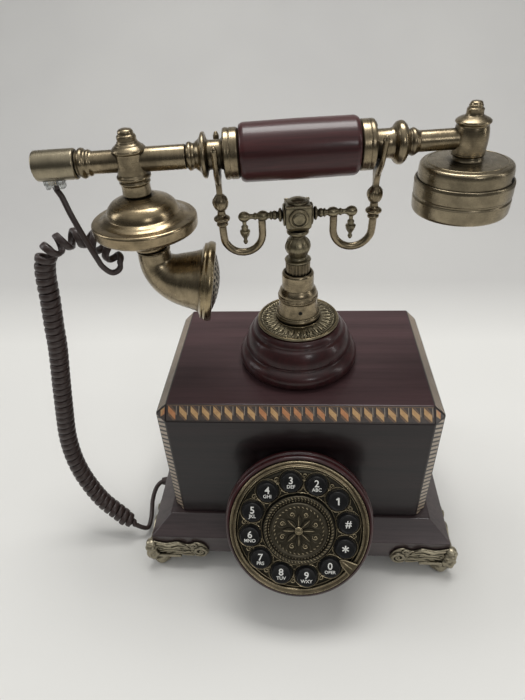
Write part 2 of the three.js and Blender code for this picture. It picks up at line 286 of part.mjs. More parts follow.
put(handset, "turning_right", lie([[13.4, GRIP_HALF + GAP], [14.3, GRIP_HALF + 1], [14.3, NECK_X - 4.9], [13.4, NECK_X - 4.1], [9.6, NECK_X - 3.8], [NECK_R, NECK_X - 3.4], [NECK_R, NECK_X + 5.2], [9, NECK_X + 7], [11.2, NECK_X + 9], [12.2, NECK_X + 11.4], [11.6, NECK_X + 13.4], [8.6, NECK_X + 15.4], [7, NECK_X + 16.6], [7.4, NECK_X + 18.2], [7.3, NECK_X + 20.2], [6.6, NECK_X + 21.4], [6, NECK_X + 22], [6, NECK_X + 26]], 20), bronze);
put(handset, "ear_elbow", join(lie([[6, NECK_X + 26 + GAP], [6, EAR_X - 4]], 20),
  turned([[8.6, -9.6], [9.4, -9.3], [9.8, -7.8], [10.2, -2], [10, 3.2], [9.4, 7], [9.1, 7.8], [9.8, 8.7], [10, 9.7], [9.5, 10.6], [7, 12], [5, 12.9], [4.9, 13.3], [4.9, 16.2], [4, 16.8], [4.1, 18], [3.4, 19.4], [1.8, 20.1], [0, 20.2]], 18).translate(EAR_X, 0, 0)), bronze);
// The cup stands a little outside the elbow's own middle.
const E = EAR_DROP, CUP_X = EAR_X + 0.5, CAN_R = EAR_R - 1.6;
put(handset, "ear_can", turned([[8.6, -9.9], [8.6, -12.2], [22, -12.5], [CAN_R - 2, -13.2], [CAN_R - 0.6, -15.4], [CAN_R, -23], [CAN_R, -25.8], [CAN_R - 2.2, -25.8], [CAN_R - 2.4, -17], [CAN_R - 4, -15], [0, -14.8]].reverse(), 26).translate(CUP_X, 0, 0), bronze);
put(handset, "ear_ring", cut(turned([[24.4, -E], [EAR_R - 1.2, -E + 1], [EAR_R - 0.2, -E + 3], [EAR_R, -33.2], [EAR_R - 0.4, -32.8], [EAR_R - 0.4, -32.2], [EAR_R, -31.8], [EAR_R - 0.1, -23.6], [EAR_R - 0.7, -22.6], [CAN_R + GAP, -22.6], [CAN_R + GAP, -26.1], [CAN_R - 2.2, -26.1], [CAN_R - 2.2, -E + 4], [0, -E + 3]], 26).translate(CUP_X, 0, 0), ...[0, 1, 2, 3, 4, 5].map((i) => turned([[1.5, -60], [1.5, -30]], 6).translate(CUP_X + 9 * Math.cos(i * Math.PI / 3), 9 * Math.sin(i * Math.PI / 3), 0))), bronze);
const B = BELL_DROP;
put(handset, "mouth_bell", turned([[9.8, -B - 19.9], [10.8, -B - 18.9], [10.6, -B - 16.7], [13, -B - 14.7], [23, -B - 10.9], [BELL_R - 1.4, -B - 7.5], [BELL_R - 0.2, -B - 5.6], [BELL_R + 0.3, -B - 0.6], [BELL_R - 0.5, -B + 0.5], [BELL_R - 1.8, -B + 0.9], [BELL_R - 4.3, -B + 1.2], [23.6, -B + 3.6], [22.4, -B + 4], [21.7, -B + 6.4], [20, -B + 9.6], [17, -B + 12], [12.4, -B + 13.9], [9.2, -B + 14.8], [0, -B + 15]], 26).translate(CLAMP_X + 1.2, 0, 0), bronze);
// The horn turns in the collar under the bell: an elbow that widens, a rim and a pierced grille.
const HX = CLAMP_X + 3, H0 = -B - 20.2, AIM = 10;
const bend = [[0, 0, 0, 8.6], [0, -2.1, 0, 10.2], [0, -7.5, 0, 10.8], [1.4, -13, 25, 12.2], [5, -18.6, 50, 14.2], [10.4, -22.6, 68, 16.6], [16.8, -25, 79, 18.6], [22.6, -26, 80, 19.8], [27.4, -26.8, 80, 21.4]];
const horn = rings(bend.map(([x, z, d, r]) => { const a = rad(d); return Array.from({ length: 18 }, (_, j) => { const b = -(2 * Math.PI * j) / 18; return [HX + x + r * Math.cos(b) * Math.cos(a), r * Math.sin(b), H0 + z + r * Math.cos(b) * Math.sin(a)]; }); }));
const aim = (g) => g.rotateY(rad(90 + AIM)).translate(HX + 27.4, 0, H0 - 26.8);
put(handset, "horn_elbow", cut(outward(horn), aim(turned([[HORN_RIM_R - 8.7, -6], [HORN_RIM_R - 8.7, 10]], 24))), bronze);
put(handset, "horn_rim", aim(turned([[HORN_RIM_R - 7.6, GAP], [HORN_RIM_R - 4.8, GAP], [HORN_RIM_R - 3.8, 0.9], [HORN_RIM_R - 1.6, 1.4], [HORN_RIM_R - 1.2, 3.4], [HORN_RIM_R, 4.6], [HORN_RIM_R, 8], [HORN_RIM_R - 1, 8.9], [HORN_RIM_R - 3.6, 9.1], [HORN_RIM_R - 4.6, 8.2], [HORN_RIM_R - 5.2, 6], [HORN_RIM_R - 7.6, 5]], 26, true)), bronze);
const G = HORN_RIM_R - 5.6;
put(handset, "horn_grille", aim(cut(turned([[G, 7], [G + 0.3, 8.4], [G - 3.6, 10.6], [10, 12.4], [0, 13.2]], 22), turned([[G - 2.6, 2], [G - 2.6, 8.2], [9, 10.8], [0, 11.4]], 18), ...[0, 1, 2, 3, 4, 5].map((i) => turned([[1.3, 5], [1.3, 16]], 8).translate(9 * Math.cos(i * Math.PI / 3), 9 * Math.sin(i * Math.PI / 3), 0)))), darkPlate);
const PX = CAP_LEFT + 8.6;
put(handset, "plug_top", cut(join(box(11.6, 7.4, 9, PX, 0, -6.4), box(3.4, 5.4, 4.4, PX - 3.6, 0, -11.8), box(3.4, 4.4, 3.6, PX + 3.8, 0, -11.6))), clear);
handset.position.set(0.7, 0.35, T + HANDSET_H);
handset.rotation.set(0, -rad(HANDSET_TILT), rad(YAW), "ZYX");

// ---- cord: a straight lead, then the coil's envelope, down to a plug in the plinth's side ----
handset.updateMatrixWorld(true);
const onHandset = (x, y, z) => new THREE.Vector3(x, y, z).applyMatrix4(handset.matrixWorld).toArray();
const above = (list, z) => list.map((p) => [p[0], p[1], p[2] + z]);
const LEAD = [onHandset(PX, 0, -14.9), ...above([[-142.4, -15.5, 133.0], [-139.0, -18.0, 123.8], [-135.4, -19.5, 114.0], [-131.8, -20.5, 104.3], [-128.4, -20.5, 94.2], [-126.4, -19.5, 87.6], [-122.3, -17.0, 82.1], [-117.9, -14.0, 83.1]], T)];
const COIL = [...above([[-117.2, -11.5, 88.4], [-122.2, -10.0, 92.1], [-129.6, -8.0, 97.7], [-137.0, -7.0, 101.9], [-144.2, -8.5, 103.1], [-152.6, -12.0, 102.0], [-163.4, -15, 95], [-168, -16, 83]], T), [-170.2, -18, 216.9], [-172.6, -20, 197], [-174.8, -22, 176.8], [-181.2, -28, 132.9], [-185.3, -34, 94.5], [-fw - 64.7, JACK_Y - 22, 64.9], [-fw - 51.9, JACK_Y - 29, 39.3], [-fw - 36.4, JACK_Y - 34, 23.8], [-fw - 23.4, JACK_Y - 37.6, 13], [-fw - 13.6, JACK_Y - 37.4, 7.8]];
put(base, "cord_lead", bar(LEAD, LEAD_R, 8), cordBrown);
put(base, "cord_coil", bar(COIL, COIL_R, 10), cordBrown);
put(base, "plug_base", join(box(11, 7.6, 6.4, -fw + 5.2, JACK_Y, JACK_Z), box(5, 5, 5, -fw - 1.6, JACK_Y, JACK_Z),
  bar([[-fw - 3, JACK_Y, JACK_Z], [-fw - 8, JACK_Y - 0.6, JACK_Z - 1], [-fw - 12.4, JACK_Y - 4, JACK_Z - 5], [-fw - 14.4, JACK_Y - 12, JACK_Z - 11], [-fw - 13.8, JACK_Y - 20, JACK_Z - 15], [-fw - 13.2, JACK_Y - 28, JACK_Z - 16.6]], LEAD_R, 8)), cordBrown);

phone.add(base, dial, cradle, handset);
// The part's frame: the middle of what stands on the feet, without the cord, at the level of the feet.
phone.updateMatrixWorld(true);
const bounds = new THREE.Box3();
phone.traverse((o) => { if (o.isMesh && !/^(cord_|plug_)/.test(o.name)) bounds.expandByObject(o, true); });
phone.position.set(-(bounds.min.x + bounds.max.x) / 2, -(bounds.min.y + bounds.max.y) / 2, -bounds.min.z);
phone.updateMatrixWorld(true);

export default phone;
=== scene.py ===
"""A french-style cradle telephone: the looks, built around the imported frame.

Lengths are in millimetres here and become metres where a mesh is made.
"""
import math

import bmesh
import bpy
import numpy as np
from mathutils import Matrix, Vector


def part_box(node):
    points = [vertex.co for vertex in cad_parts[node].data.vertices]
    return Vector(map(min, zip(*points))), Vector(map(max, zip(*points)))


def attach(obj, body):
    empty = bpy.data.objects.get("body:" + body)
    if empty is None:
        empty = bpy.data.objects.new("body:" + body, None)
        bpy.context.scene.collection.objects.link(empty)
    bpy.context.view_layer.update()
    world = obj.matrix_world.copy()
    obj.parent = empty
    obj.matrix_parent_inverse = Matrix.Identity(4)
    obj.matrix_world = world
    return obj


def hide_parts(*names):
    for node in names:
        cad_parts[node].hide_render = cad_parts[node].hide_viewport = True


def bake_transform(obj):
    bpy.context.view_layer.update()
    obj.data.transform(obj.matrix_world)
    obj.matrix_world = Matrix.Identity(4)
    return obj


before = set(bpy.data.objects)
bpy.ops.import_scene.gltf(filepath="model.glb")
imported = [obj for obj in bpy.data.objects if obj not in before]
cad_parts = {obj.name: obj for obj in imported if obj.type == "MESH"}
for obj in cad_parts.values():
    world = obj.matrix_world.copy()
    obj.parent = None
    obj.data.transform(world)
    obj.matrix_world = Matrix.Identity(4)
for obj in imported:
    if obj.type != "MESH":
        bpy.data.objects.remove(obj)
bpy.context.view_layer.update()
scene = bpy.context.scene
rad = math.radians

# ---------------------------------------------------------------- places
lo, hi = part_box("case_shell")
CX, CY = (lo.x + hi.x) * 500, (lo.y + hi.y) * 500  # the case's middle in the row frame
TOP = hi.z * 1000
YAW, TILT = 5.4, 31.0  # the handset's turn on its forks, and the dial's lean
HAND_H, HAND_TILT = 152.7, 0.57  # the handset's axis above the case's top, and how far it is off level
HAND_X, HAND_Y = 0.7, 0.35  # the handset's middle, beside the case's
CAP_LEFT, PLUG_IN = -155.3, 8.6  # the end cap's outer end, and the plug's place in from it
DIAL_Y, DIAL_Z = -101.8, 82.2
FW, FD = 116.6, 80.2  # half the plinth's width and depth at the floor
PLINTH_Z = (15.5, 34.4)  # the plinth's upright edge
JOIN_DIST = 1e-4  # points closer than this are one


def T(x=0.0, y=0.0, z=0.0):
    return Matrix.Translation((x, y, z))


def R(deg, axis):
    return Matrix.Rotation(rad(deg), 4, axis)


F_BASE = T(CX, CY, 0)
F_POST = T(CX, CY, TOP)
F_CRADLE = F_POST @ R(YAW, "Z")
F_HAND = T(CX + HAND_X, CY + HAND_Y, TOP + HAND_H) @ R(YAW, "Z") @ R(-HAND_TILT, "Y")
F_DIAL = T(CX + HAND_X, CY + DIAL_Y, DIAL_Z) @ R(90 - TILT, "X")
ALONG_X = R(90, "Y")  # turns a piece turned about Z so that its Z lies along X

# ---------------------------------------------------------------- camera
yaw, pitch, roll = rad(-5.3065), rad(36.893), rad(-3.151)
f = Vector((math.sin(yaw) * math.cos(pitch), math.cos(yaw) * math.cos(pitch), -math.sin(pitch)))
r = Vector((math.cos(yaw), -math.sin(yaw), 0))
u = r.cross(f)
right = r * math.cos(roll) + u * math.sin(roll)
up = u * math.cos(roll) - r * math.sin(roll)
cam_data = bpy.data.cameras.new("camera")
cam_data.lens = 26.33
cam_data.sensor_width = 36
cam_data.clip_start = 0.01
cam = bpy.data.objects.new("camera", cam_data)
scene.collection.objects.link(cam)
eye = Vector((CX + 1.774, CY - 311.054, TOP + 239.828)) / 1000
cam.matrix_world = Matrix((
    (right.x, up.x, -f.x, eye.x),
    (right.y, up.y, -f.y, eye.y),
    (right.z, up.z, -f.z, eye.z),
    (0, 0, 0, 1)))
scene.camera = cam
scene.view_settings.view_transform = "Standard"


# ---------------------------------------------------------------- mesh code
def volume(v, faces):
    total = 0.0
    for face in faces:
        a = v[face[0]]
        for i in range(1, len(face) - 1):
            total += float(np.dot(a, np.cross(v[face[i]], v[face[i + 1]])))
    return total


class Piece:
    """Collects closed shells, each with its own material, and makes one object of them."""

    def __init__(self):
        self.v, self.f, self.m, self.loc, self.flat = [], [], [], [], []

    def add(self, shape, mat=0, place=None, loc=None, solid=True, flat=False):
        verts, faces = shape
        verts = np.asarray(verts, float)
        own = verts if loc is None else np.asarray(loc, float)
        if place is not None:
            m = np.array(place)
            verts = verts @ m[:3, :3].T + m[:3, 3]
        if solid and volume(verts - verts.mean(0), faces) < 0:
            faces = [face[::-1] for face in faces]
        k = len(self.v)
        self.v.extend(verts.tolist())
        self.loc.extend(own.tolist())
        self.f.extend([[k + i for i in face] for face in faces])
        self.m.extend([mat] * len(faces) if isinstance(mat, int) else mat)
        self.flat.extend([flat] * len(faces))
        return self

    def make(self, name, placed, mats, body, replaces=(), sharp=40, slot=None, blend=None):
        m = np.array(placed)
        v = (np.array(self.v) @ m[:3, :3].T + m[:3, 3]) / 1000
        mesh = bpy.data.meshes.new(name)
        mesh.from_pydata(v.tolist(), [], self.f)
        mesh.polygons.foreach_set("material_index", self.m)
        mesh.polygons.foreach_set("use_smooth", [not x for x in self.flat])
        at = mesh.attributes.new("loc", "FLOAT_VECTOR", "POINT")
        at.data.foreach_set("vector", np.array(self.loc, np.float32).ravel())
        for mat in mats:
            mesh.materials.append(mat)
        mesh.update()
        if sharp:
            mesh.set_sharp_from_angle(angle=rad(sharp))
        o = bpy.data.objects.new(name, mesh)
        scene.collection.objects.link(o)
        if sharp:
            w = o.modifiers.new("weights", "WEIGHTED_NORMAL")
            w.keep_sharp = True
            w.weight = 60
        if replaces:
            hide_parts(*replaces)
        if blend:
            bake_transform(o)
        else:
            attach(o, body)
        return o


def arc_points(a, b, bulge, step=14.0):
    """The points strictly between a and b on an arc.

    bulge is the tangent of a quarter of its angle, positive to the right of a to b.
    """
    angle = 4 * math.atan(abs(bulge))
    n = max(2, int(math.degrees(angle) / step) + 1)
    ax, ay, bx, by = a[0], a[1], b[0], b[1]
    chord = math.hypot(bx - ax, by - ay)
    if chord < 1e-9:
        return []
    radius = chord / (2 * math.sin(angle / 2))
    ux, uy = (bx - ax) / chord, (by - ay) / chord
    px, py = uy, -ux
    side = 1 if bulge > 0 else -1
    h = radius * math.cos(angle / 2)
    cx, cy = (ax + bx) / 2 - side * px * h, (ay + by) / 2 - side * py * h
    out = []
    for i in range(1, n):
        t = -angle / 2 + angle * i / n
        along, outw = radius * math.sin(t), radius * math.cos(t)
        out.append((cx + ux * along + side * px * outw, cy + uy * along + side * py * outw))
    return out


def smooth_profile(profile, closed=False, fillet=0.3, step=14.0):
    """A turned profile of (radius, height[, bulge of the edge that follows]), bottom to top,
    with its arcs drawn and its corners eased.
    """
    pts, corner = [], []
    n = len(profile)
    for i, p in enumerate(profile):
        pts.append((p[0], p[1]))
        corner.append(True)
        if len(p) > 2 and (closed or i < n - 1) and abs(p[2]) > 1e-6:
            extra = arc_points(p, profile[(i + 1) % n], p[2], step)
            pts.extend(extra)
            corner.extend([False] * len(extra))
    out = []
    m = len(pts)
    for i, p in enumerate(pts):
        ends = not closed and i in (0, m - 1)
        if not corner[i] or ends or fillet <= 0:
            out.append(p)
            continue
        a, b = pts[(i - 1) % m], pts[(i + 1) % m]
        da, db = math.dist(a, p), math.dist(b, p)
        if da < 1e-6 or db < 1e-6:
            out.append(p)
            continue
        va, vb = ((a[0] - p[0]) / da, (a[1] - p[1]) / da), ((b[0] - p[0]) / db, (b[1] - p[1]) / db)
        turn = math.degrees(math.acos(max(-1, min(1, -(va[0] * vb[0] + va[1] * vb[1])))))
        if turn < 12:
            out.append(p)
            continue
        cutoff = min(fillet, 0.42 * da, 0.42 * db)
        s, e = (p[0] + va[0] * cutoff, p[1] + va[1] * cutoff), (p[0] + vb[0] * cutoff, p[1] + vb[1] * cutoff)
        k = 3 if turn > 50 else 2
        for j in range(k + 1):
            t = j / k
            out.append(tuple((1 - t) ** 2 * s[q] + 2 * t * (1 - t) * p[q] + t * t * e[q] for q in (0, 1)))
    return out


def lathe(profile, seg=80, closed=False, fillet=0.3, step=14.0, wave=None):
    """wave(angle, radius, height) gives a change of radius, for flutes and knurls."""
    pts = smooth_profile(profile, closed, fillet, step)
    verts, start = [], []
    for rr, z in pts:
        start.append((len(verts), rr > 1e-6))
        if rr > 1e-6:
            for j in range(seg):
                a = 2 * math.pi * j / seg
                q = rr + (wave(a, rr, z) if wave else 0)
                verts.append((q * math.cos(a), q * math.sin(a), z))
        else:
            verts.append((0, 0, z))
    faces = []
    n = len(pts)
    for i in range(n if closed else n - 1):
        (a, ra), (b, rb) = start[i], start[(i + 1) % n]
        for j in range(seg):
            k = (j + 1) % seg
            if ra and rb:
                faces.append([a + j, a + k, b + k, b + j])
            elif ra:
                faces.append([a + j, a + k, b])
            elif rb:
                faces.append([a, b + k, b + j])
    if not closed:
        if start[0][1]:
            faces.append([start[0][0] + j for j in range(seg)][::-1])
        if start[-1][1]:
            faces.append([start[-1][0] + j for j in range(seg)])
    return verts, faces


def spline(points, per=12, closed=False):
    """A smooth curve through the points."""
    p = [np.array(x, float) for x in points]
    n = len(p)
    out = []
    for i in range(n if closed else n - 1):
        a = p[(i - 1) % n] if closed or i > 0 else 2 * p[0] - p[1]
        b, c = p[i], p[(i + 1) % n]
        d = p[(i + 2) % n] if closed or i < n - 2 else 2 * p[-1] - p[-2]
        for k in range(per):
            t = k / per
            out.append(0.5 * ((2 * b) + (c - a) * t + (2 * a - 5 * b + 4 * c - d) * t * t + (3 * b - a - 3 * c + d) * t ** 3))
    if not closed:
        out.append(p[-1])
    return np.array(out)


def frames(path, first=None):
    """A tangent and a turning-free pair of normals at each point."""
    path = np.asarray(path, float)
    t = np.gradient(path, axis=0)
    t /= np.linalg.norm(t, axis=1)[:, None]
    n = np.zeros_like(t)
    seed = np.array(first if first is not None else ((0, 0, 1) if abs(t[0][2]) < 0.9 else (1, 0, 0)), float)
    n[0] = seed - t[0] * seed.dot(t[0])
    n[0] /= np.linalg.norm(n[0])
    for i in range(1, len(path)):
        k = n[i - 1] - t[i] * n[i - 1].dot(t[i])
        n[i] = k / np.linalg.norm(k)
    return t, n, np.cross(t, n)


def tube_faces(count, sides):
    """The quads between rings of equally many points, and a face on each end ring."""
    faces = []
    for i in range(count - 1):
        for j in range(sides):
            k = (j + 1) % sides
            faces.append([i * sides + j, i * sides + k, (i + 1) * sides + k, (i + 1) * sides + j])
    faces.append(list(range(sides))[::-1])
    faces.append([(count - 1) * sides + j for j in range(sides)])
    return faces


def sweep(path, radius, sides=12, flat=1.0, first=None, round_ends=True):
    """A bar along a path, with a radius for each point and rounded ends.

    Its section is pressed to flat times its width along the first normal.
    """
    path = np.asarray(path, float)
    rr = np.full(len(path), float(radius)) if np.isscalar(radius) else np.asarray(radius, float)
    t, n, b = frames(path, first)
    if round_ends:
        k = 4
        head = [(path[0] - t[0] * rr[0] * math.sin(math.pi / 2 * (1 - i / k)) * 0.9,
            rr[0] * math.cos(math.pi / 2 * (1 - i / k)) + 1e-3) for i in range(k)]
        tail = [(path[-1] + t[-1] * rr[-1] * math.sin(math.pi / 2 * (i + 1) / k) * 0.9,
            rr[-1] * math.cos(math.pi / 2 * (i + 1) / k) + 1e-3) for i in range(k)]
        path = np.vstack([[h[0] for h in head], path, [h[0] for h in tail]])
        rr = np.concatenate([[h[1] for h in head], rr, [h[1] for h in tail]])
        n = np.vstack([np.repeat(n[:1], k, 0), n, np.repeat(n[-1:], k, 0)])
        b = np.vstack([np.repeat(b[:1], k, 0), b, np.repeat(b[-1:], k, 0)])
    a = 2 * np.pi * np.arange(sides) / sides
    ring = path[:, None, :] + rr[:, None, None] * (n[:, None, :] * np.cos(a)[None, :, None] * flat + b[:, None,
        :] * np.sin(a)[None, :, None])
    return ring.reshape(-1, 3).tolist(), tube_faces(len(path), sides)


def as_bmesh(shape):
    """The shape as a bmesh with its doubled points joined; a face given twice is left out."""
    bm = bmesh.new()
    vs = [bm.verts.new(p) for p in shape[0]]
    for face in shape[1]:
        try:
            bm.faces.new([vs[i] for i in face])
        except ValueError:
            pass
    bmesh.ops.remove_doubles(bm, verts=bm.verts, dist=JOIN_DIST)
    return bm


def as_shape(bm):
    """The bmesh as points and faces; the bmesh is freed."""
    bm.verts.index_update()
    out = [tuple(v.co) for v in bm.verts], [[v.index for v in face.verts] for face in bm.faces]
    bm.free()
    return out


def eased(shape, width, segments=3, angle=25):
    """The shape with its sharp edges rounded."""
    bm = as_bmesh(shape)
    bmesh.ops.recalc_face_normals(bm, faces=bm.faces)
    edges = [e for e in bm.edges if len(e.link_faces) == 2 and e.calc_face_angle(0) > rad(angle)]
    bmesh.ops.bevel(bm, geom=edges, offset=width, segments=segments, profile=0.5, affect="EDGES", clamp_overlap=True)
    return as_shape(bm)


def prism(outline, z0, z1):
    n = len(outline)
    verts = [(p[0], p[1], z0) for p in outline] + [(p[0], p[1], z1) for p in outline]
    faces = [[i, (i + 1) % n, n + (i + 1) % n, n + i] for i in range(n)]
    faces += [list(range(n))[::-1], [n + i for i in range(n)]]
    return verts, faces


def rings(list_of_rings):
    """A solid through rings of equally many points."""
    verts = [tuple(p) for ring in list_of_rings for p in ring]
    return verts, tube_faces(len(list_of_rings), len(list_of_rings[0]))


def block(w, d, h, x=0, y=0, z=0):
    return prism([(x - w / 2, y - d / 2), (x + w / 2, y - d / 2), (x + w / 2, y + d / 2), (x - w / 2, y + d / 2)],
        z - h / 2, z + h / 2)


# ---------------------------------------------------------------- materials
class Tree:
    def __init__(self, name):
        self.mat = bpy.data.materials.new(name)
        self.mat.use_nodes = True
        self.t = self.mat.node_tree
        self.t.nodes.clear()
        self.out = self.t.nodes.new("ShaderNodeOutputMaterial")
        self.bsdf = self.t.nodes.new("ShaderNodeBsdfPrincipled")
        self.t.links.new(self.bsdf.outputs[0], self.out.inputs[0])

    def node(self, kind, inputs=None, **props):
        n = self.t.nodes.new("ShaderNode" + kind)
        for k, v in props.items():
            setattr(n, k, v)
        for k, v in (inputs or {}).items():
            self.put(n.inputs[k], v)
        return n

    def put(self, socket, value):
        if isinstance(value, bpy.types.NodeSocket):
            self.t.links.new(value, socket)
        elif isinstance(value, (tuple, list)) and len(value) == 3 and socket.type == "RGBA":
            socket.default_value = (*value, 1)
        else:
            socket.default_value = value

    def set(self, **values):
        for k, v in values.items():
            self.put(self.bsdf.inputs[k.replace("_", " ")], v)

    def coords(self, own=True):
        if own:
            return self.node("Attribute", attribute_name="loc").outputs["Vector"]
        scaled = self.node("VectorMath", {0: self.node("TexCoord").outputs["Object"], 1: (1000, 1000, 1000)},
            operation="MULTIPLY")
        return scaled.outputs[0]

    def scaled(self, vector, s):
        return self.node("VectorMath", {0: vector, 1: s}, operation="MULTIPLY").outputs[0]

    def noise(self, vector, scale=1.0, detail=3.0, rough=0.55, distort=0.0):
        return self.node("TexNoise", {"Vector": vector, "Scale": scale, "Detail": detail, "Roughness": rough,
            "Distortion": distort}).outputs["Fac"]

    def map(self, value, a, b, c=0.0, d=1.0):
        return self.node("MapRange", {"Value": value, "From Min": a, "From Max": b, "To Min": c,
            "To Max": d}).outputs[0]

    def math(self, op, a, b=0.0, clamp=False):
        return self.node("Math", {0: a, 1: b}, operation=op, use_clamp=clamp).outputs[0]

    def mix(self, fac, a, b):
        n = self.node("Mix", data_type="RGBA")
        self.put(n.inputs[0], fac)
        self.put(n.inputs[6], a)
        self.put(n.inputs[7], b)
        return n.outputs[2]

    def bump(self, height, strength, distance, normal=None):
        inputs = {"Height": height, "Strength": strength, "Distance": distance}
        n = self.node("Bump", inputs)
        if normal is not None:
            self.t.links.new(normal, n.inputs["Normal"])
        return n.outputs[0]


def brass(name, light, dark, rough=0.27, lines=(0.04, 0.04, 2.4), lined=0.5, patina=0.5, recess=5.0, own=True,
        cast=0.0):
    """Antiqued brass: bright where handling has worn it, with fine brush lines from the lathe; an ambient-occlusion
    mask browns it in recesses and between neighbouring parts, partly its patina and partly painted shade.
    """
    m = Tree(name)
    at = m.coords(own)
    brush = m.noise(m.scaled(at, lines), 1.0, 4, 0.65)
    cloud = m.noise(at, 0.11, 4, 0.6)
    speck = m.noise(at, 1.3, 2, 0.5)
    # ambient occlusion darkens the colour in recesses and where parts sit close together: partly patina in the
    # hollows, partly painted shade
    hollow_patina_and_shade = m.node("AmbientOcclusion", {"Distance": recess / 1000}, samples=6).outputs["AO"]
    hollow_patina_and_shade = m.map(hollow_patina_and_shade, 0.35, 0.95)
    worn = m.map(m.math("ADD", m.math("MULTIPLY", cloud, 0.75), m.math("MULTIPLY", brush, 0.25)), 0.36, 0.66)
    fac = m.math("MULTIPLY", hollow_patina_and_shade, m.math("ADD", m.math("MULTIPLY", worn, patina), 1 - patina), clamp=True)
    colour = m.mix(fac, dark, light)
    colour = m.mix(m.map(speck, 0.66, 0.8, 0.0, 0.55), colour, tuple(c * 0.6 for c in dark))
    m.set(Base_Color=colour, Metallic=m.map(fac, 0.0, 0.35, 0.72, 1.0))
    m.set(Roughness=m.math("ADD", m.map(fac, 0, 1, rough + 0.2, rough), m.map(brush, 0.3, 0.7, -0.05, 0.05)))
    height = m.bump(brush, lined, 0.00003)
    if cast:
        height = m.bump(m.noise(at, 0.9, 3, 0.6), cast, 0.00012, height)
    m.t.links.new(height, m.bsdf.inputs["Normal"])
    return m.mat


def wood(name, deep, warm, grain=(0.012, 0.25, 0.25), gloss=0.16, own=True, coat=0.8, streak=1.0, shine=0.5,
        painted_top_light=None):
    """Stained hardwood under a polished lacquer.

    The grain runs along the axis with the small scale; the last argument, when given, is a lighter colour painted on
    faces that point up, a painted highlight for the light falling on the top.
    """
    m = Tree(name)
    at = m.coords(own)
    wander = m.noise(m.scaled(at, tuple(g * 0.5 for g in grain)), 1.0, 3, 0.5)
    fibre = m.noise(m.scaled(at, tuple(g * 2.2 for g in grain)), 1.0, 6, 0.7, 0.35)
    pores = m.noise(m.scaled(at, (grain[0] * 6, grain[1] * 7, grain[2] * 7)), 1.0, 2, 0.5)
    fac = m.map(m.math("ADD", m.math("MULTIPLY", wander, 0.5), m.math("MULTIPLY", fibre, 0.5 * streak)),
        0.38 * (0.5 + 0.5 * streak), 0.66 * (0.5 + 0.5 * streak))
    colour = m.mix(fac, deep, warm)
    colour = m.mix(m.map(pores, 0.62, 0.75, 0.0, 0.5), colour, tuple(c * 0.45 for c in deep))
    # faces that point up are mixed towards the lighter colour: painted light on the top
    if painted_top_light:
        up = m.node("SeparateXYZ", {0: m.node("TexCoord").outputs["Normal"]}).outputs["Z"]
        colour = m.mix(m.map(up, 0.8, 0.95), colour, m.mix(fac, tuple(c * 0.6 for c in painted_top_light), painted_top_light))
    m.set(Base_Color=colour, Roughness=m.map(fibre, 0.3, 0.7, gloss + 0.2, gloss + 0.12), Coat_Weight=coat,
        Coat_Roughness=m.map(m.noise(at, 0.05, 3, 0.5), 0.3, 0.7, gloss * 0.6, gloss), Coat_IOR=1.5,
        Specular_IOR_Level=shine)
    m.t.links.new(m.bump(fibre, 0.10, 0.0001), m.bsdf.inputs["Normal"])
    m.t.links.new(m.bump(m.noise(at, 0.06, 2, 0.4), 0.10, 0.0008), m.bsdf.inputs["Coat Normal"])
    return m.mat


def plain(name, colour, rough=0.5, metal=0.0, vary=0.15, scale=0.4, bump=0.1, own=True, **more):
    """A moulded or painted surface, with slight unevenness in its colour, gloss and surface."""
    m = Tree(name)
    at = m.coords(own)
    fine = m.noise(at, scale, 4, 0.6)
    m.set(Base_Color=m.mix(m.map(fine, 0.3, 0.7), tuple(c * (1 - vary) for c in colour),
        tuple(min(1, c * (1 + vary)) for c in colour)),
          Roughness=m.map(m.noise(at, scale * 0.3, 3, 0.5), 0.3, 0.7, rough - 0.06, rough + 0.06), Metallic=metal,
              **more)
    m.t.links.new(m.bump(m.noise(at, scale * 6, 3, 0.6), bump, 0.00005), m.bsdf.inputs["Normal"])
    return m.mat


BRASS_L, BRASS_D = (0.37, 0.30, 0.195), (0.032, 0.026, 0.018)
brass_z = brass("brass_turned", BRASS_L, BRASS_D, rough=0.21, patina=0.62, recess=6)
brass_soft = brass("brass_bell", (0.40, 0.315, 0.195), (0.045, 0.034, 0.022), rough=0.2, lines=(0.05, 0.05, 1.6),
    lined=0.35, patina=0.55)
brass_cap = brass("brass_cap", (0.37, 0.32, 0.225), (0.06, 0.052, 0.038), rough=0.26, lines=(0.03, 0.03, 3.5),
    lined=0.6, patina=0.4)
brass_dark = brass("brass_dark", (0.31, 0.25, 0.16), (0.02, 0.017, 0.013), rough=0.24, patina=0.65, recess=4)
brass_cast = brass("brass_cast", (0.36, 0.31, 0.205), (0.012, 0.011, 0.009), rough=0.3, lines=(0.6, 0.6, 0.6),
    lined=0.3, patina=0.55, recess=3.5, cast=0.6)
plate_metal = brass("dial_plate_metal", (0.055, 0.050, 0.038), (0.007, 0.007, 0.006), rough=0.38,
    lines=(0.5, 0.5, 0.5), lined=0.3, patina=0.5, recess=2.5, cast=0.5)
medal_metal = brass("medallion_metal", (0.10, 0.087, 0.062), (0.010, 0.009, 0.007), rough=0.34, lines=(0.5, 0.5, 0.5),
    lined=0.3, patina=0.5, recess=2.5, cast=0.5)
brass_bright = brass("brass_rubbed", (0.42, 0.335, 0.20), (0.03, 0.024, 0.015), rough=0.19, lines=(0.05, 0.05, 2.0),
    lined=0.35, patina=0.6, recess=3)
brass_edge = brass("brass_edge", (0.46, 0.385, 0.25), (0.07, 0.056, 0.035), rough=0.24, lines=(0.5, 0.5, 0.5),
    lined=0.2, patina=0.35, recess=2)
brass_ear = brass("brass_ear", (0.33, 0.275, 0.185), (0.035, 0.029, 0.021), rough=0.23, lines=(0.03, 0.03, 3.0),
    lined=0.55, patina=0.45)
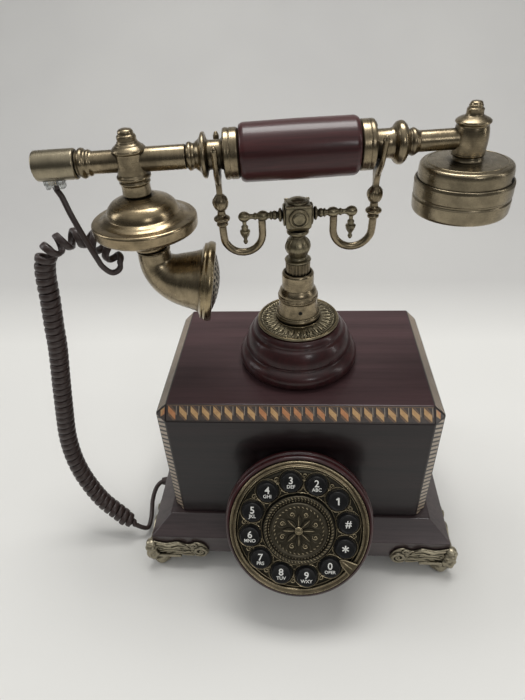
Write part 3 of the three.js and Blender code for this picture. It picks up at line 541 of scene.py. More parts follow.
foot_metal = brass("brass_foot", (0.46, 0.41, 0.30), (0.009, 0.008, 0.006), rough=0.3, lines=(0.6, 0.6, 0.6),
    lined=0.3, patina=0.45, recess=2.6, cast=0.5)
# the case's top faces carry a painted highlight colour, lighter and redder than its sides
case_wood = wood("case_wood", (0.007, 0.0048, 0.0055), (0.020, 0.0105, 0.0115), gloss=0.17, coat=0.3, shine=0.25,
    painted_top_light=(0.074, 0.038, 0.041))
plinth_wood = wood("plinth_wood", (0.030, 0.019, 0.020), (0.066, 0.042, 0.043), gloss=0.22, coat=0.5, shine=0.4)
red_wood = wood("red_wood", (0.020, 0.0055, 0.006), (0.050, 0.0125, 0.013), grain=(0.2, 0.2, 0.02), gloss=0.2,
    coat=0.3, shine=0.3)
grip_wood = wood("grip_wood", (0.030, 0.0075, 0.008), (0.078, 0.0185, 0.0195), grain=(0.3, 0.3, 0.016), gloss=0.2,
    coat=0.35, shine=0.3)
dial_wood = wood("dial_wood", (0.016, 0.005, 0.0055), (0.050, 0.012, 0.0125), grain=(0.05, 0.05, 0.05), gloss=0.16,
    coat=0.4, shine=0.3)
black_key = plain("button_plastic", (0.007, 0.007, 0.0075), 0.36, vary=0.2, bump=0.06, Specular_IOR_Level=0.3)
ink = plain("button_ink", (0.80, 0.80, 0.76), 0.5, vary=0.04, bump=0.03)
inlay_light = wood("inlay_maple", (0.42, 0.24, 0.095), (0.58, 0.37, 0.17), grain=(0.6, 0.6, 0.6), gloss=0.25,
    coat=0.5)
inlay_orange = wood("inlay_cherry", (0.40, 0.165, 0.062), (0.52, 0.24, 0.10), grain=(0.6, 0.6, 0.6), gloss=0.25,
    coat=0.5)
inlay_brown = wood("inlay_walnut", (0.10, 0.055, 0.03), (0.17, 0.10, 0.055), grain=(0.6, 0.6, 0.6), gloss=0.25,
    coat=0.5)
inlay_dark = wood("inlay_ebony", (0.030, 0.022, 0.019), (0.060, 0.043, 0.036), grain=(0.5, 0.5, 0.5), gloss=0.25,
    coat=0.5)
rope_light = wood("rope_maple", (0.34, 0.265, 0.19), (0.48, 0.38, 0.28), grain=(0.5, 0.5, 0.5), gloss=0.3, coat=0.4)
rope_dark = wood("rope_walnut", (0.014, 0.010, 0.008), (0.032, 0.023, 0.018), grain=(0.5, 0.5, 0.5), gloss=0.3,
    coat=0.2, shine=0.3)
cord_mat = plain("cord_rubber", (0.040, 0.024, 0.021), 0.42, vary=0.18, scale=0.3, bump=0.08, own=False,
    Coat_Weight=0.15, Coat_Roughness=0.35)
plug_clear = plain("plug_clear", (0.80, 0.82, 0.80), 0.12, vary=0.03, bump=0.02, Transmission_Weight=0.75, IOR=1.49)
gold = plain("contact_gold", (0.72, 0.52, 0.20), 0.25, 1.0, vary=0.1, bump=0.02)
steel = plain("screw_steel", (0.30, 0.28, 0.24), 0.35, 1.0, vary=0.2, bump=0.1)
# near-black for holes and the gaps round the buttons: painted shade standing for the dark inside of a hole
painted_hole_shade = plain("painted_hole_shade", (0.006, 0.006, 0.006), 0.8)
green_board = plain("board_green", (0.02, 0.075, 0.035), 0.45, own=False)
black_part = plain("black_moulding", (0.015, 0.015, 0.016), 0.42, own=False)
fibre = plain("base_fibre", (0.022, 0.018, 0.016), 0.75, own=False, vary=0.3, scale=0.8, bump=0.4)

# ---------------------------------------------------------------- cord
# A straight lead runs into the curly cord, and a plug sits in the plinth.
JY, JZ = -18.0, 25.0  # the cord's socket in the plinth's side
HT, HY = rad(HAND_TILT), rad(YAW)
PLUG_X = CAP_LEFT + PLUG_IN


def on_handset(x, z):
    along_x, up_z = x * math.cos(HT) - z * math.sin(HT), z * math.cos(HT) + x * math.sin(HT)
    return HAND_X + along_x * math.cos(HY), HAND_Y + along_x * math.sin(HY), TOP + HAND_H + up_z


LEAD = [on_handset(PLUG_X, -13.2), on_handset(PLUG_X, -14.9)] + [(x, y, TOP + z) for x, y,
    z in [(-142.4, -15.5, 133.0), (-139.0, -18.0, 123.8), (-135.4, -19.5, 114.0), (-131.8, -20.5, 104.3),
    (-128.4, -20.5, 94.2), (-126.4, -19.5, 87.6), (-122.3, -17.0, 82.1), (-117.9, -14.0, 83.1)]]
COIL = [(x, y, TOP + z) for x, y, z in [(-117.2, -11.5, 88.4), (-122.2, -10.0, 92.1), (-129.6, -8.0, 97.7),
    (-137.0, -7.0, 101.9), (-144.2, -8.5, 103.1), (-152.6, -12.0, 102.0), (-163.4, -15, 95), (-168, -16, 83)]] + [
    (-170.2, -18, 216.9), (-172.6, -20, 197), (-174.8, -22, 176.8), (-181.2, -28, 132.9), (-185.3, -34, 94.5),
        (-FW - 64.7, JY - 22, 64.9), (-FW - 51.9, JY - 29, 39.3), (-FW - 36.4, JY - 34, 23.8),
        (-FW - 23.4, JY - 37.6, 13)]
TAIL = [(-FW - 14.6, JY - 36.6, 7.4), (-FW - 13.4, JY - 28, 7.6), (-FW - 14.0, JY - 20, 9.8),
    (-FW - 14.4, JY - 12, 14.0), (-FW - 12.2, JY - 4.4, 19.8), (-FW - 8.0, JY - 0.8, 23.8), (-FW - 3.4, JY, 25.0)]
WIDE, THICK, HELIX = 5.0, 2.8, 5.5


def ease(t):
    t = min(1.0, max(0.0, t))
    return t * t * (3 - 2 * t)


def cord_route():
    """The wire's own path, the way its flat side faces, and how flat it is, at each point."""
    per = 40
    mid = spline(LEAD + COIL + TAIL, per)
    s = np.concatenate([[0], np.cumsum(np.linalg.norm(np.diff(mid, axis=0), axis=1))])
    start, stop = s[(len(LEAD) - 1) * per] + 1.0, s[(len(LEAD) + len(COIL) - 1) * per] + 2.0
    n, b = frames(mid, (0, -1, 0))[1:]
    where, phase, pts, faces_to, flatness = 0.0, 2.6, [], [], []
    while where < s[-1]:
        i = min(int(np.searchsorted(s, where, "right")) - 1, len(s) - 2)
        k = (where - s[i]) / max(1e-9, s[i + 1] - s[i])
        c = mid[i] * (1 - k) + mid[i + 1] * k
        nn, bb = n[i] * (1 - k) + n[i + 1] * k, b[i] * (1 - k) + b[i + 1] * k
        grow = ease((where - start) / 15) * ease((stop - where) / 13)
        out = nn * math.cos(phase) + bb * math.sin(phase)
        pts.append(c + HELIX * grow * out)
        faces_to.append(out / np.linalg.norm(out))
        flatness.append(grow)
        # The turns are pulled open over the loop at the top and lie closed as they hang, a little unevenly.
        hang = ease((where - start - 48) / 22)
        pitch = 10.2 + (5.3 - 10.2) * hang + 0.22 * math.sin(where * 0.21) + 0.16 * math.sin(where * 0.083 + 1)
        turning = 2 * math.pi / pitch * ease((where - start + 5) / 9) * ease((stop - where + 3) / 9)
        step = min(1.0, (2 * math.pi / 20) / max(turning, 1e-6))
        phase += turning * step
        where += step
    return np.array(pts), np.array(faces_to), np.array(flatness)


whole, facing, flatness = cord_route()
tangent = np.gradient(whole, axis=0)
tangent /= np.linalg.norm(tangent, axis=1)[:, None]
facing = facing - tangent * np.sum(facing * tangent, axis=1)[:, None]
facing /= np.linalg.norm(facing, axis=1)[:, None]
across = np.cross(tangent, facing)
SIDES = 12
turn_ = 2 * np.pi * np.arange(SIDES) / SIDES
thick = 1.75 + (THICK / 2 - 1.75) * flatness
wide = 1.85 + (WIDE / 2 - 1.85) * flatness


def square(v):
    """Pushes a round section towards a square one."""
    return np.sign(v) * np.abs(v) ** 0.72


ring = whole[:, None, :] + thick[:, None, None] * facing[:, None, :] * square(np.cos(turn_))[None, :, None] + wide[:,
    None, None] * across[:, None, :] * square(np.sin(turn_))[None, :, None]
cord = Piece()
cord.add((ring.reshape(-1, 3), tube_faces(len(whole), SIDES)))
cord_obj = cord.make("curly_cord", F_BASE, [cord_mat], None, ["cord_lead", "cord_coil"], sharp=0,
                     blend=("base", "handset", tuple((Vector((CX - 181, CY - 40, 64)) / 1000)),
                         tuple((Vector((CX - 144, CY - 13, 290)) / 1000))))
plug = Piece()
plug.add(eased(block(10.6, 7.4, 6.2, -FW + 5.2, JY, JZ), 0.5), 0)
plug.add(eased(rings([[(x, JY + sy * w, JZ + sz * w) for sy, sz in ((-1, -1), (1, -1), (1, 1), (-1, 1))] for x,
    w in ((-FW + 0.4, 3.0), (-FW - 2.4, 2.9), (-FW - 7.0, 2.3))]), 0.7), 1)
for k in range(3):
    plug.add(lathe([(2.2, -0.45), (3.25 - 0.25 * k, -0.3), (3.25 - 0.25 * k, 0.3), (2.2, 0.45)], 28, closed=False,
        fillet=0.15), 1, T(-FW - 2.6 - 1.7 * k, JY, JZ) @ ALONG_X)
plug_obj = plug.make("base_plug", F_BASE, [black_key, cord_mat], "base", ["plug_base"])

# ---------------------------------------------------------------- case
W2, D2, CH, LEDGE_Z = 100.0, 63.6, 8.9, 45.6


def outline(w, d, k):
    return [(-w, d), (-w, -d + k), (-w + k, -d), (w - k, -d), (w, -d + k), (w, d)]


def case_shape():
    low = [(x, y, LEDGE_Z + 0.3) for x, y in outline(W2, D2, CH)]
    mid = [(x, y, TOP - CH) for x, y in outline(W2, D2, CH)]
    top = [(-W2 + CH, D2, TOP), (-W2 + CH, -D2 + CH, TOP), (W2 - CH, -D2 + CH, TOP), (W2 - CH, D2, TOP)]
    verts = low + mid + top
    faces = [[0, 1, 2, 3, 4, 5], [0, 1, 7, 6], [1, 2, 8, 7], [2, 3, 9, 8], [3, 4, 10, 9], [4, 5, 11, 10],
             [6, 7, 13, 12], [7, 8, 13], [8, 9, 14, 13], [9, 10, 14], [10, 11, 15, 14], [12, 13, 14, 15],
                 [0, 5, 11, 15, 12, 6]]
    return verts, faces


case = Piece()
case.add(eased(case_shape(), 0.7, 3, 20), 0)
case.make("case", F_BASE, [case_wood], "base", ["case_shell"], sharp=50)

# plinth: mitred skirt with a fine ledge
plinth = Piece()


def rect(w, d, z):
    return [(-w, d, z), (-w, -d, z), (w, -d, z), (w, d, z)]


PW, PD = 102.0, 65.6
plinth.add(eased(rings([rect(FW, FD, PLINTH_Z[0]), rect(FW, FD, PLINTH_Z[1]), rect(PW, PD, LEDGE_Z),
    rect(PW - 4, PD - 4, LEDGE_Z)]), 0.6, 3, 20), 0)
plinth.make("plinth_body", F_BASE, [plinth_wood], "base", ["plinth"], sharp=50)


# ---------------------------------------------------------------- marquetry
def strip_frame(a, b, normal):
    a, b, n = Vector(a), Vector(b), Vector(normal).normalized()
    x = (b - a).normalized()
    y = n.cross(x)
    return Matrix(((x.x, y.x, n.x, a.x), (x.y, y.y, n.y, a.y), (x.z, y.z, n.z, a.z), (0, 0, 0, 1))), (b - a).length


MID, SW = CH / 2, CH * math.sqrt(2) - 1.0


def flat_inlay(outline2, z=0.14):
    """A thin chip of wood on the strip's face."""
    return prism(outline2, -0.4, z)


def front_strip():
    p = Piece()
    place, length = strip_frame((-W2 + CH + 0.4, -D2 + MID, TOP - MID), (W2 - CH - 0.4, -D2 + MID, TOP - MID),
        (0, -1, 1))
    h = SW / 2
    p.add(prism([(0, -h), (length, -h), (length, h), (0, h)], -1.0, 0.06), 0, place)
    p.add(flat_inlay([(0, h - 0.9), (length, h - 0.9), (length, h - 0.35), (0, h - 0.35)], 0.10), 3, place)
    p.add(flat_inlay([(0, -h + 0.35), (length, -h + 0.35), (length, -h + 0.75), (0, -h + 0.75)], 0.10), 4, place)
    count = 23
    pitch = length / count
    for i in range(count):
        x = (i + 0.5) * pitch
        k = 1 if (i * 7 + i // 3) % 5 in (0, 3) else 2
        # The bright lozenge leans to the right going down; its shadow side lies against its lower left.
        left, right_ = x - 2.75, x + 2.45
        p.add(flat_inlay([(left, 0.6), (right_, -4.7), (right_, -0.2), (left, 4.9)], 0.16), k, place, flat=True)
        p.add(flat_inlay([(left, 0.35), (left, -1.6), (right_ - 1.4, -5.15), (right_, -5.0)], 0.13), 3, place,
            flat=True)
        p.add(flat_inlay([(left - 0.5, 5.2), (left - 0.08, 4.9), (left - 0.08, -1.3), (left - 0.5, -1.7)], 0.12), 4,
            place, flat=True)
        p.add(flat_inlay([(right_ + 0.08, -0.4), (left + 0.5, 5.2), (left + 1.9, 5.2), (right_ + 0.08, 1.0)], 0.12),
            3, place, flat=True)
        p.add(flat_inlay([(right_ + 0.35, -1.2), (right_ + 0.7, -1.5), (right_ + 0.7, 4.6), (right_ + 0.35, 4.9)],
            0.11), 5, place, flat=True)
    return p


p = front_strip()
p.make("marquetry_front", F_BASE, [inlay_dark, inlay_orange, inlay_light, inlay_brown, rope_dark, rope_light], "base",
    ["inlay_front"], sharp=30)


def rope_strip(name, node, a, b, normal, lean=1, period=4.3):
    """A band of slanting light and dark splinters, like a laid rope."""
    place, length = strip_frame(a, b, normal)
    p = Piece()
    h = SW / 2
    p.add(prism([(0, -h), (length, -h), (length, h), (0, h)], -1.0, 0.05), 1, place)
    inner = h - 0.9
    slope = 1.15 * lean
    n = int(length / period) + 6
    for i in range(-6, n):
        x = i * period
        quad = [(x, -inner), (x + period * 0.56, -inner), (x + period * 0.56 + slope * inner, inner),
            (x + slope * inner, inner)]
        # clip to the strip's ends
        poly = quad
        for limit, sign in ((0.3, 1), (length - 0.3, -1)):
            out = []
            for q in range(len(poly)):
                s, e = poly[q], poly[(q + 1) % len(poly)]
                si, ei = sign * (s[0] - limit) >= 0, sign * (e[0] - limit) >= 0
                if si:
                    out.append(s)
                if si != ei:
                    k = (limit - s[0]) / (e[0] - s[0])
                    out.append((limit, s[1] + k * (e[1] - s[1])))
            poly = out
            if len(poly) < 3:
                break
        if len(poly) >= 3:
            p.add(flat_inlay(poly, 0.13), 0, place, flat=True)
    for y in (-h + 0.25, inner + 0.1):
        p.add(flat_inlay([(0, y), (length, y), (length, y + 0.5), (0, y + 0.5)], 0.1), 1, place, flat=True)
    p.make(name, F_BASE, [rope_light, rope_dark, inlay_brown], "base", [node], sharp=30)


rope_strip("marquetry_left", "inlay_top_left", (-W2 + MID, -D2 + CH + 0.5, TOP - MID),
    (-W2 + MID, D2 - 0.4, TOP - MID), (-1, 0, 1), lean=-1)
rope_strip("marquetry_right", "inlay_top_right", (W2 - MID, -D2 + CH + 0.5, TOP - MID),
    (W2 - MID, D2 - 0.4, TOP - MID), (1, 0, 1))
rope_strip("marquetry_corner_left", "inlay_corner_left", (-W2 + MID, -D2 + MID, LEDGE_Z + 0.8),
    (-W2 + MID, -D2 + MID, TOP - CH - 0.6), (-1, -1, 0), lean=-1)
rope_strip("marquetry_corner_right", "inlay_corner_right", (W2 - MID, -D2 + MID, LEDGE_Z + 0.8),
    (W2 - MID, -D2 + MID, TOP - CH - 0.6), (1, -1, 0))
# a lozenge on each three-sided corner
for side, label in ((-1, "left"), (1, "right")):
    n = Vector((side, -1, 1)).normalized()
    c = Vector((side * (W2 - CH * 2 / 3), -D2 + CH * 2 / 3, TOP - CH * 2 / 3))
    x = Vector((0, 0, 1)) - n * n.z
    x.normalize()
    y = n.cross(x)
    place = Matrix(((x.x, y.x, n.x, c.x), (x.y, y.y, n.y, c.y), (x.z, y.z, n.z, c.z), (0, 0, 0, 1)))
    p = Piece()
    p.add(prism([(-3.4, -4.9), (5.6, 0), (-3.4, 4.9)], -0.6, 0.07), 0, place, flat=True)
    p.add(flat_inlay([(-3.0, 0), (0.5, -2.4), (4.4, 0)], 0.15), 1, place, flat=True)
    p.add(flat_inlay([(-3.0, 0), (4.4, 0), (0.5, 2.4)], 0.15), 2, place, flat=True)
    p.make("marquetry_lozenge_" + label, F_BASE, [inlay_dark, inlay_orange, inlay_light], "base", sharp=30)


# ---------------------------------------------------------------- shapes of the cast and turned pieces
def clipped(shape, point, normal):
    """The shape with all of it beyond a plane cut away and the cut closed."""
    bm = as_bmesh(shape)
    cut = bmesh.ops.bisect_plane(bm, geom=list(bm.verts) + list(bm.edges) + list(bm.faces), plane_co=point,
        plane_no=normal, clear_outer=True)
    rim = [e for e in cut["geom_cut"] if isinstance(e, bmesh.types.BMEdge)]
    bmesh.ops.edgeloop_fill(bm, edges=rim)
    return as_shape(bm)


def moved(shape, place):
    m = np.array(place)
    return (np.asarray(shape[0], float) @ m[:3, :3].T + m[:3, 3]).tolist(), shape[1]


def ring_bar(radius, wire, z=0.0, seg=96, flat=1.0, sides=12):
    """A ring of round or flattened bar about Z."""
    prof = [(radius + wire * math.cos(2 * math.pi * k / sides),
        z + wire * flat * math.sin(2 * math.pi * k / sides)) for k in range(sides)]
    return lathe(prof, seg, closed=True, fillet=0)


def dome(radius, height, z=0.0, seg=24, rows=5):
    """A shallow bead, flat below."""
    return lathe([(0, z)] + [(radius * math.cos(math.pi / 2 * k / rows),
        z + height * math.sin(math.pi / 2 * k / rows)) for k in range(rows)] + [(0, z + height)], seg, fillet=0)


def scroll(cx, cy, r0, r1, start, turns, points=26):
    """A spiral that winds in from r0 to r1."""
    out = []
    for i in range(points + 1):
        t = i / points
        a = rad(start) + 2 * math.pi * turns * t
        rr = r0 + (r1 - r0) * t ** 0.85
        out.append((cx + rr * math.cos(a), cy + rr * math.sin(a)))
    return out


def raised(line, z, widths, flat=0.6, sides=8, per=5):
    """A tapering raised line through 2-D points, lying at height z."""
    path = spline([(x, y, z) for x, y in line], per)
    t = np.linspace(0, 1, len(path))
    w = np.interp(t, np.linspace(0, 1, len(widths)), widths)
    return sweep(path, w, sides, flat, first=(0, 0, 1))


def engraved_text(text, size):
    """Plain figures as flat solids, centred on the origin, in mm."""
    curve = bpy.data.curves.new("figures", "FONT")
    curve.body = text
    curve.size = size
    curve.align_x = "CENTER"
    curve.align_y = "CENTER"
    curve.extrude = 0.06
    curve.offset = 0.012 * size
    curve.resolution_u = 3
    o = bpy.data.objects.new("figures", curve)
    scene.collection.objects.link(o)
    bpy.context.view_layer.update()
    me = bpy.data.meshes.new_from_object(o.evaluated_get(bpy.context.evaluated_depsgraph_get()))
    verts = [tuple(v.co) for v in me.vertices]
    faces = [list(poly.vertices) for poly in me.polygons]
    bpy.data.objects.remove(o)
    bpy.data.curves.remove(curve)
    bpy.data.meshes.remove(me)
    return verts, faces


# ---------------------------------------------------------------- cast corner feet
FEET_Z = 15.5
WLEN = 45.0


def foot_piece(name, sx, sy):
    p = Piece()
    X, Y = sx * FW, sy * FD
    for axis in ("x", "y"):
        # (along from the corner, height, outwards) to the case's frame
        if axis == "x":
            place = Matrix(((-sx, 0, 0, X), (0, 0, sy, Y + sy * 0.3), (0, 1, 0, 0), (0, 0, 0, 1)))
        else:
            place = Matrix(((0, 0, sx, X + sx * 0.3), (-sy, 0, 0, Y), (0, 1, 0, 0), (0, 0, 0, 1)))
        low = [(-1, 12.2), (3, 11.6), (8, 11.2), (13, 12.6), (17, 14.2), (22, 13.6), (27, 12.0), (31.5, 12.4)]
        eye = [(WLEN - 7 + 6.8 * math.cos(rad(a)), 18.5 + 6.8 * math.sin(rad(a))) for a in range(230, 400, 17)]
        top = [(WLEN - 3.2, 26.6), (WLEN - 6.4, 29.0), (WLEN - 10.5, 29.4), (WLEN - 14, 27.4), (WLEN - 17.5, 26.4),
            (WLEN - 21, 28.2), (WLEN - 25, 29.6), (WLEN - 29.5, 28.6), (10, 27.2), (5, 28.6), (-1, 29.0)]
        line = spline([(a, b, 0) for a, b in low + eye + top], 3, closed=True)
        p.add(eased(prism([(q[0], q[1]) for q in line], 0.0, 1.7), 0.6, 2, 30), 0, place)
        # volute at the scroll's end, with its eye
        p.add(raised(scroll(WLEN - 7.2, 19.0, 6.3, 1.6, -125, 1.55), 2.0, [1.0, 1.55, 1.5, 1.2, 0.8], 0.95), 0, place)
        p.add(dome(1.5, 1.3, 1.9, 16, 4), 0, place @ T(WLEN - 7.1, 19.0, 0))
        # a smaller curl that turns back above it
        p.add(raised(scroll(WLEN - 11.2, 26.0, 3.1, 0.8, 200, -1.1, 16), 1.9, [0.7, 1.1, 0.9, 0.5], 0.95), 0, place)
        # flowing leaf ribs between the corner and the volute
        for pts, ww in (
            ([(2, 13.6), (8, 12.8), (14, 14.6), (20, 15.6), (27, 13.6), (32, 13.0)], [0.7, 1.2, 1.3, 1.2, 0.7]),
            ([(3, 27.2), (8, 26.4), (12, 25.2), (17, 26.8), (21, 28.0), (25, 26.6), (28, 24.4)],
                [0.8, 1.2, 1.3, 1.3, 0.7]),
            ([(4, 16.6), (10, 18.6), (16, 19.2), (22, 17.6), (28, 17.0), (32, 18.6)], [0.5, 1.3, 1.5, 1.2, 0.6]),
            ([(4, 24.2), (9, 22.2), (15, 22.2), (20, 24.2), (25, 24.0), (30, 21.2)], [0.5, 1.2, 1.5, 1.2, 0.6]),
            ([(7, 20.4), (14, 20.7), (20, 20.9), (26, 20.6)], [0.3, 0.8, 0.8, 0.3]),
        ):
            p.add(raised(pts, 1.7, ww, 0.9), 0, place)
        # overlapping leaf lobes along the middle
        for k, (a, h, tilt_) in enumerate(((12, 16.4, 28), (12, 24.6, -28), (19.5, 17.2, 38), (20, 22.6, -38),
            (27, 17.6, 30), (26.5, 23.2, -20))):
            leaf = [(-3.4, 0), (-1.6, 1.25), (1.0, 1.35), (3.6, 0.2), (1.2, -1.1), (-1.4, -1.0)]
            shape = eased(prism([(q[0], q[1]) for q in spline([(x, y, 0) for x, y in leaf], 3, closed=True)], 1.2,
                2.5), 0.55, 2, 30)
            p.add(shape, 0, place @ T(a, h, 0) @ R(tilt_, "Z"))
        for a, h, rr in ((5.5, 20.3, 1.3), (1.8, 17.0, 1.0), (1.8, 23.6, 1.0), (15.9, 20.3, 0.9), (23.6, 20.2, 0.8),
            (30.6, 15.9, 0.8)):
            p.add(dome(rr, rr * 0.9, 1.6, 14, 3), 0, place @ T(a, h, 0))
    # corner post with its knob
    post = lathe([(0, 9.0), (3.7, 9.4), (5.0, 12.2, 0.25), (5.1, 16.6), (4.0, 18.2), (3.9, 20.4), (4.8, 22.0, 0.35),
        (4.9, 25.2), (3.7, 26.4), (4.1, 27.4, 0.3), (3.4, 29.4), (1.9, 30.3), (0, 30.5)], 48,
                 wave=lambda a, rr, z: 0.42 * math.cos(5 * a + z * 0.5) if 11 < z < 26 else 0)
    p.add(post, 0, T(X + sx * 1.2, Y + sy * 1.2, 0))
    # ball foot, its swirl cut round it
    ball = lathe([(0, 0), (4.9, 0.1), (6.4, 1.3, 0.28), (7.5, 5.4, 0.26), (6.4, 9.0), (4.6, 10.4), (4.4, 13.5)], 56,
        fillet=0.35, step=8,
                 wave=lambda a, rr, z: 0.42 * math.cos(5 * a + z * 0.55) * max(0.0,
                     math.sin(math.pi * min(1, max(0, (z - 0.6) / 9.0)))))
    p.add(ball, 0, T(X - sx * 3.5, Y - sy * 3.5, 0))
    p.add(ring_bar(5.2, 0.8, 10.8, 48), 0, T(X - sx * 3.5, Y - sy * 3.5, 0))
    p.add(eased(block(26, 26, 3.0, X - sx * (13 - 4.1), Y - sy * (13 - 4.1), FEET_Z - 1.9), 0.5), 0)
    p.make("cast_" + name, F_BASE, [foot_metal], "base", [name], sharp=34, slot="cast_bronze")


for corner_name, corner_x, corner_y in (("foot_front_left", -1, -1), ("foot_front_right", 1, -1),
    ("foot_back_left", -1, 1), ("foot_back_right", 1, 1)):
    foot_piece(corner_name, corner_x, corner_y)

# ---------------------------------------------------------------- dial
DR, RW, DD = 48.5, 4.1, 12.3
RR = DR + RW
BR, BRING, BSTART = 6.9, 34.2, 9
MR = BRING - BR - 2.7
barrel = lathe([(DR - 4.5, -DD - 46), (DR, -DD - 46), (DR, -DD + 0.2), (DR - 4.5, -DD + 0.2)], 128, closed=True,
    fillet=0.2)
barrel = moved(barrel, T(HAND_X, DIAL_Y, DIAL_Z) @ R(90 - TILT, "X"))
barrel = clipped(barrel, (0, 0, 16.4), (0, 0, -1))
barrel = clipped(barrel, (0, -64.5, 0), (0, 1, 0))
Piece().add(barrel, 0).make("dial_barrel", F_BASE, [dial_wood], "base", ["dial_housing"], sharp=40, slot="red_wood")

rim = lathe([(DR - 4.4, -DD), (RR - 3, -DD), (RR - 0.5, -DD + 0.5, 0.28), (RR - 0.7, -DD + 4.5),
    (RR - 1.8, -DD + 5.1), (RR - 1.9, -DD + 5.7), (RR - 1.2, -DD + 6.6, 0.1), (RR - 1.3, -2.9, 0.32),
    (RR - 2.9, -0.8), (DR + 0.5, -0.5), (DR + 0.3, -1.2), (DR + 0.3, -3), (DR - 4.4, -3)], 144, closed=True,
    fillet=0.35, step=8)
Piece().add(rim, 0).make("dial_rim_wood", F_DIAL, [dial_wood], "base", ["dial_rim"], sharp=44, slot="red_wood")

bez = Piece()
bez.add(lathe([(DR - 4.6, -2.6), (DR, -2.6), (DR, -0.9), (DR - 0.35, 0.0, 0.45), (DR - 2.1, 0.0), (DR - 2.5, -0.25),
    (DR - 2.8, 0.2, 0.42), (DR - 4.4, 0.3), (DR - 4.9, -0.6), (DR - 4.9, -1.6)], 144, closed=True, fillet=0.15,
    step=10), 0)
bez.add(ring_bar(DR - 0.9, 0.5, 0.0, 144), 1)
bez.add(ring_bar(DR - 4.2, 0.42, 0.3, 144), 1)
bez.make("dial_bezel_rings", F_DIAL, [brass_dark, brass_edge], "base", ["dial_bezel"], sharp=44, slot="antique_brass")

plate = Piece()
plate.add(lathe([(0, -3.2), (DR - 5.3, -3.2), (DR - 5.3, -1.3), (DR - 7.4, -0.35), (DR - 7.9, 0.05), (0, 0.5)], 144,
    fillet=0.2), 0)
plate.add(ring_bar(DR - 5.7, 0.35, -0.9, 144), 1)
plate.add(ring_bar(DR - 8.2, 0.22, 0.1, 144), 0)
plate.add(ring_bar(MR + 1.5, 0.28, 0.5, 120), 1)
LABELS = ["hash", "1", "2", "3", "4", "5", "6", "7", "8", "9", "0", "star"]
for i in range(12):
    a = BSTART + 30 * i
    at = R(a, "Z") @ T(BRING, 0, 0)
    # a near-black ring in the gap round each button: painted shade
    plate.add(lathe([(BR + 0.05, 0.30), (BR + 0.75, 0.30), (BR + 0.75, 0.52), (BR + 0.05, 0.52)], 64, closed=True,
        fillet=0), 2, at)
    plate.add(lathe([(BR + 0.6, 0.2), (BR + 1.1, 0.2), (BR + 1.05, 0.62), (BR + 0.85, 0.72), (BR + 0.65, 0.62)], 64,
        closed=True, fillet=0.1), 3, at)
    plate.add(ring_bar(BR + 1.75, 0.2, 0.42, 64, 0.9, 8), 1, at)
    # engraved scrolls in the spandrels between the wells
    b = a + 15
    sp = R(b, "Z")
    plate.add(raised(scroll(DR - 10.4, 0, 2.1, 0.5, 180, 1.3, 18), 0.25, [0.18, 0.36, 0.34, 0.2], 0.9, 6, 3), 1, sp)
    for sgn in (-1, 1):
        plate.add(raised([(DR - 12.8, 0), (DR - 13.4, sgn * 1.5), (DR - 11.2, sgn * 3.4), (DR - 9.0, sgn * 5.0),
            (DR - 8.9, sgn * 7.2), (DR - 10.3, sgn * 7.9), (DR - 10.9, sgn * 6.7)], 0.22,
            [0.2, 0.36, 0.36, 0.32, 0.2], 0.9, 6, 4), 1, sp)
        plate.add(raised([(DR - 14.6, 0), (DR - 17.6, sgn * 0.45), (MR + 3.2, sgn * 1.6), (MR + 2.2, sgn * 3.4),
            (MR + 3.0, sgn * 4.4)], 0.38, [0.24, 0.34, 0.3, 0.16], 0.9, 6, 4), 1, sp)
        plate.add(raised([(DR - 10.8, sgn * 2.1), (DR - 9.3, sgn * 2.6), (DR - 8.6, sgn * 4.0)], 0.2,
            [0.12, 0.26, 0.12], 0.9, 6, 4), 1, sp)
    plate.add(dome(0.55, 0.42, 0.35, 12, 3), 1, sp @ T(DR - 13.9, 0, 0))
    plate.add(dome(0.45, 0.35, 0.42, 12, 3), 1, sp @ T(MR + 5.0, 0, 0))
plate.make("dial_engraved_plate", F_DIAL, [plate_metal, brass_edge, painted_hole_shade, medal_metal], "base", ["dial_plate"],
    sharp=40, slot="engraved_plate")

med = Piece()
med.add(lathe([(0, 0.3), (MR - 0.4, 0.3), (MR, 1.2), (MR, 2.2, 0.4), (MR - 1.1, 3.2), (MR - 2.3, 3.2, 0.1),
    (MR - 3.1, 2.1), (MR - 4.3, 1.95), (MR - 4.7, 3.0, 0.4), (MR - 6.3, 3.9), (MR - 7.0, 3.3), (9, 3.0), (0, 3.2)],
    128, fillet=0.25), 0)
for k in range(60):
    med.add(dome(0.62, 0.5, 1.95, 10, 3), 1, R(6 * k, "Z") @ T(MR - 3.7, 0, 0))
for k in range(64):
    med.add(raised([(MR - 2.3, -0.42), (MR - 1.55, 0.0), (MR - 0.9, 0.55)], 3.15, [0.16, 0.34, 0.14], 0.8, 6, 3), 1,
        R(360 / 64 * k, "Z"))
for k in range(8):
    at = R(45 * k, "Z")
    petal = [(2.6, 0), (4.4, 1.35), (7.0, 1.9), (9.6, 1.2), (11.2, 0), (9.6, -1.2), (7.0, -1.9), (4.4, -1.35)]
    med.add(eased(prism([(q[0], q[1]) for q in spline([(x, y, 0) for x, y in petal], 4, closed=True)], 2.9, 3.75),
        0.4, 2, 30), 0, at)
    med.add(raised([(3.4, 0), (7, 0.12), (10.6, 0)], 3.75, [0.12, 0.34, 0.1], 0.9, 6, 4), 1, at)
    half = R(45 * k + 22.5, "Z")
    med.add(raised(scroll(12.2, 0, 2.0, 0.4, 180, 1.2, 16), 3.1, [0.16, 0.4, 0.36, 0.2], 0.9, 6, 3), 1, half)
    for sgn in (-1, 1):
        med.add(raised([(8.2, sgn * 0.5), (10.6, sgn * 2.1), (13.2, sgn * 3.2), (15.2, sgn * 2.2), (15.4, sgn * 0.8)],
            3.05, [0.14, 0.36, 0.34, 0.14], 0.9, 6, 4), 0, half)
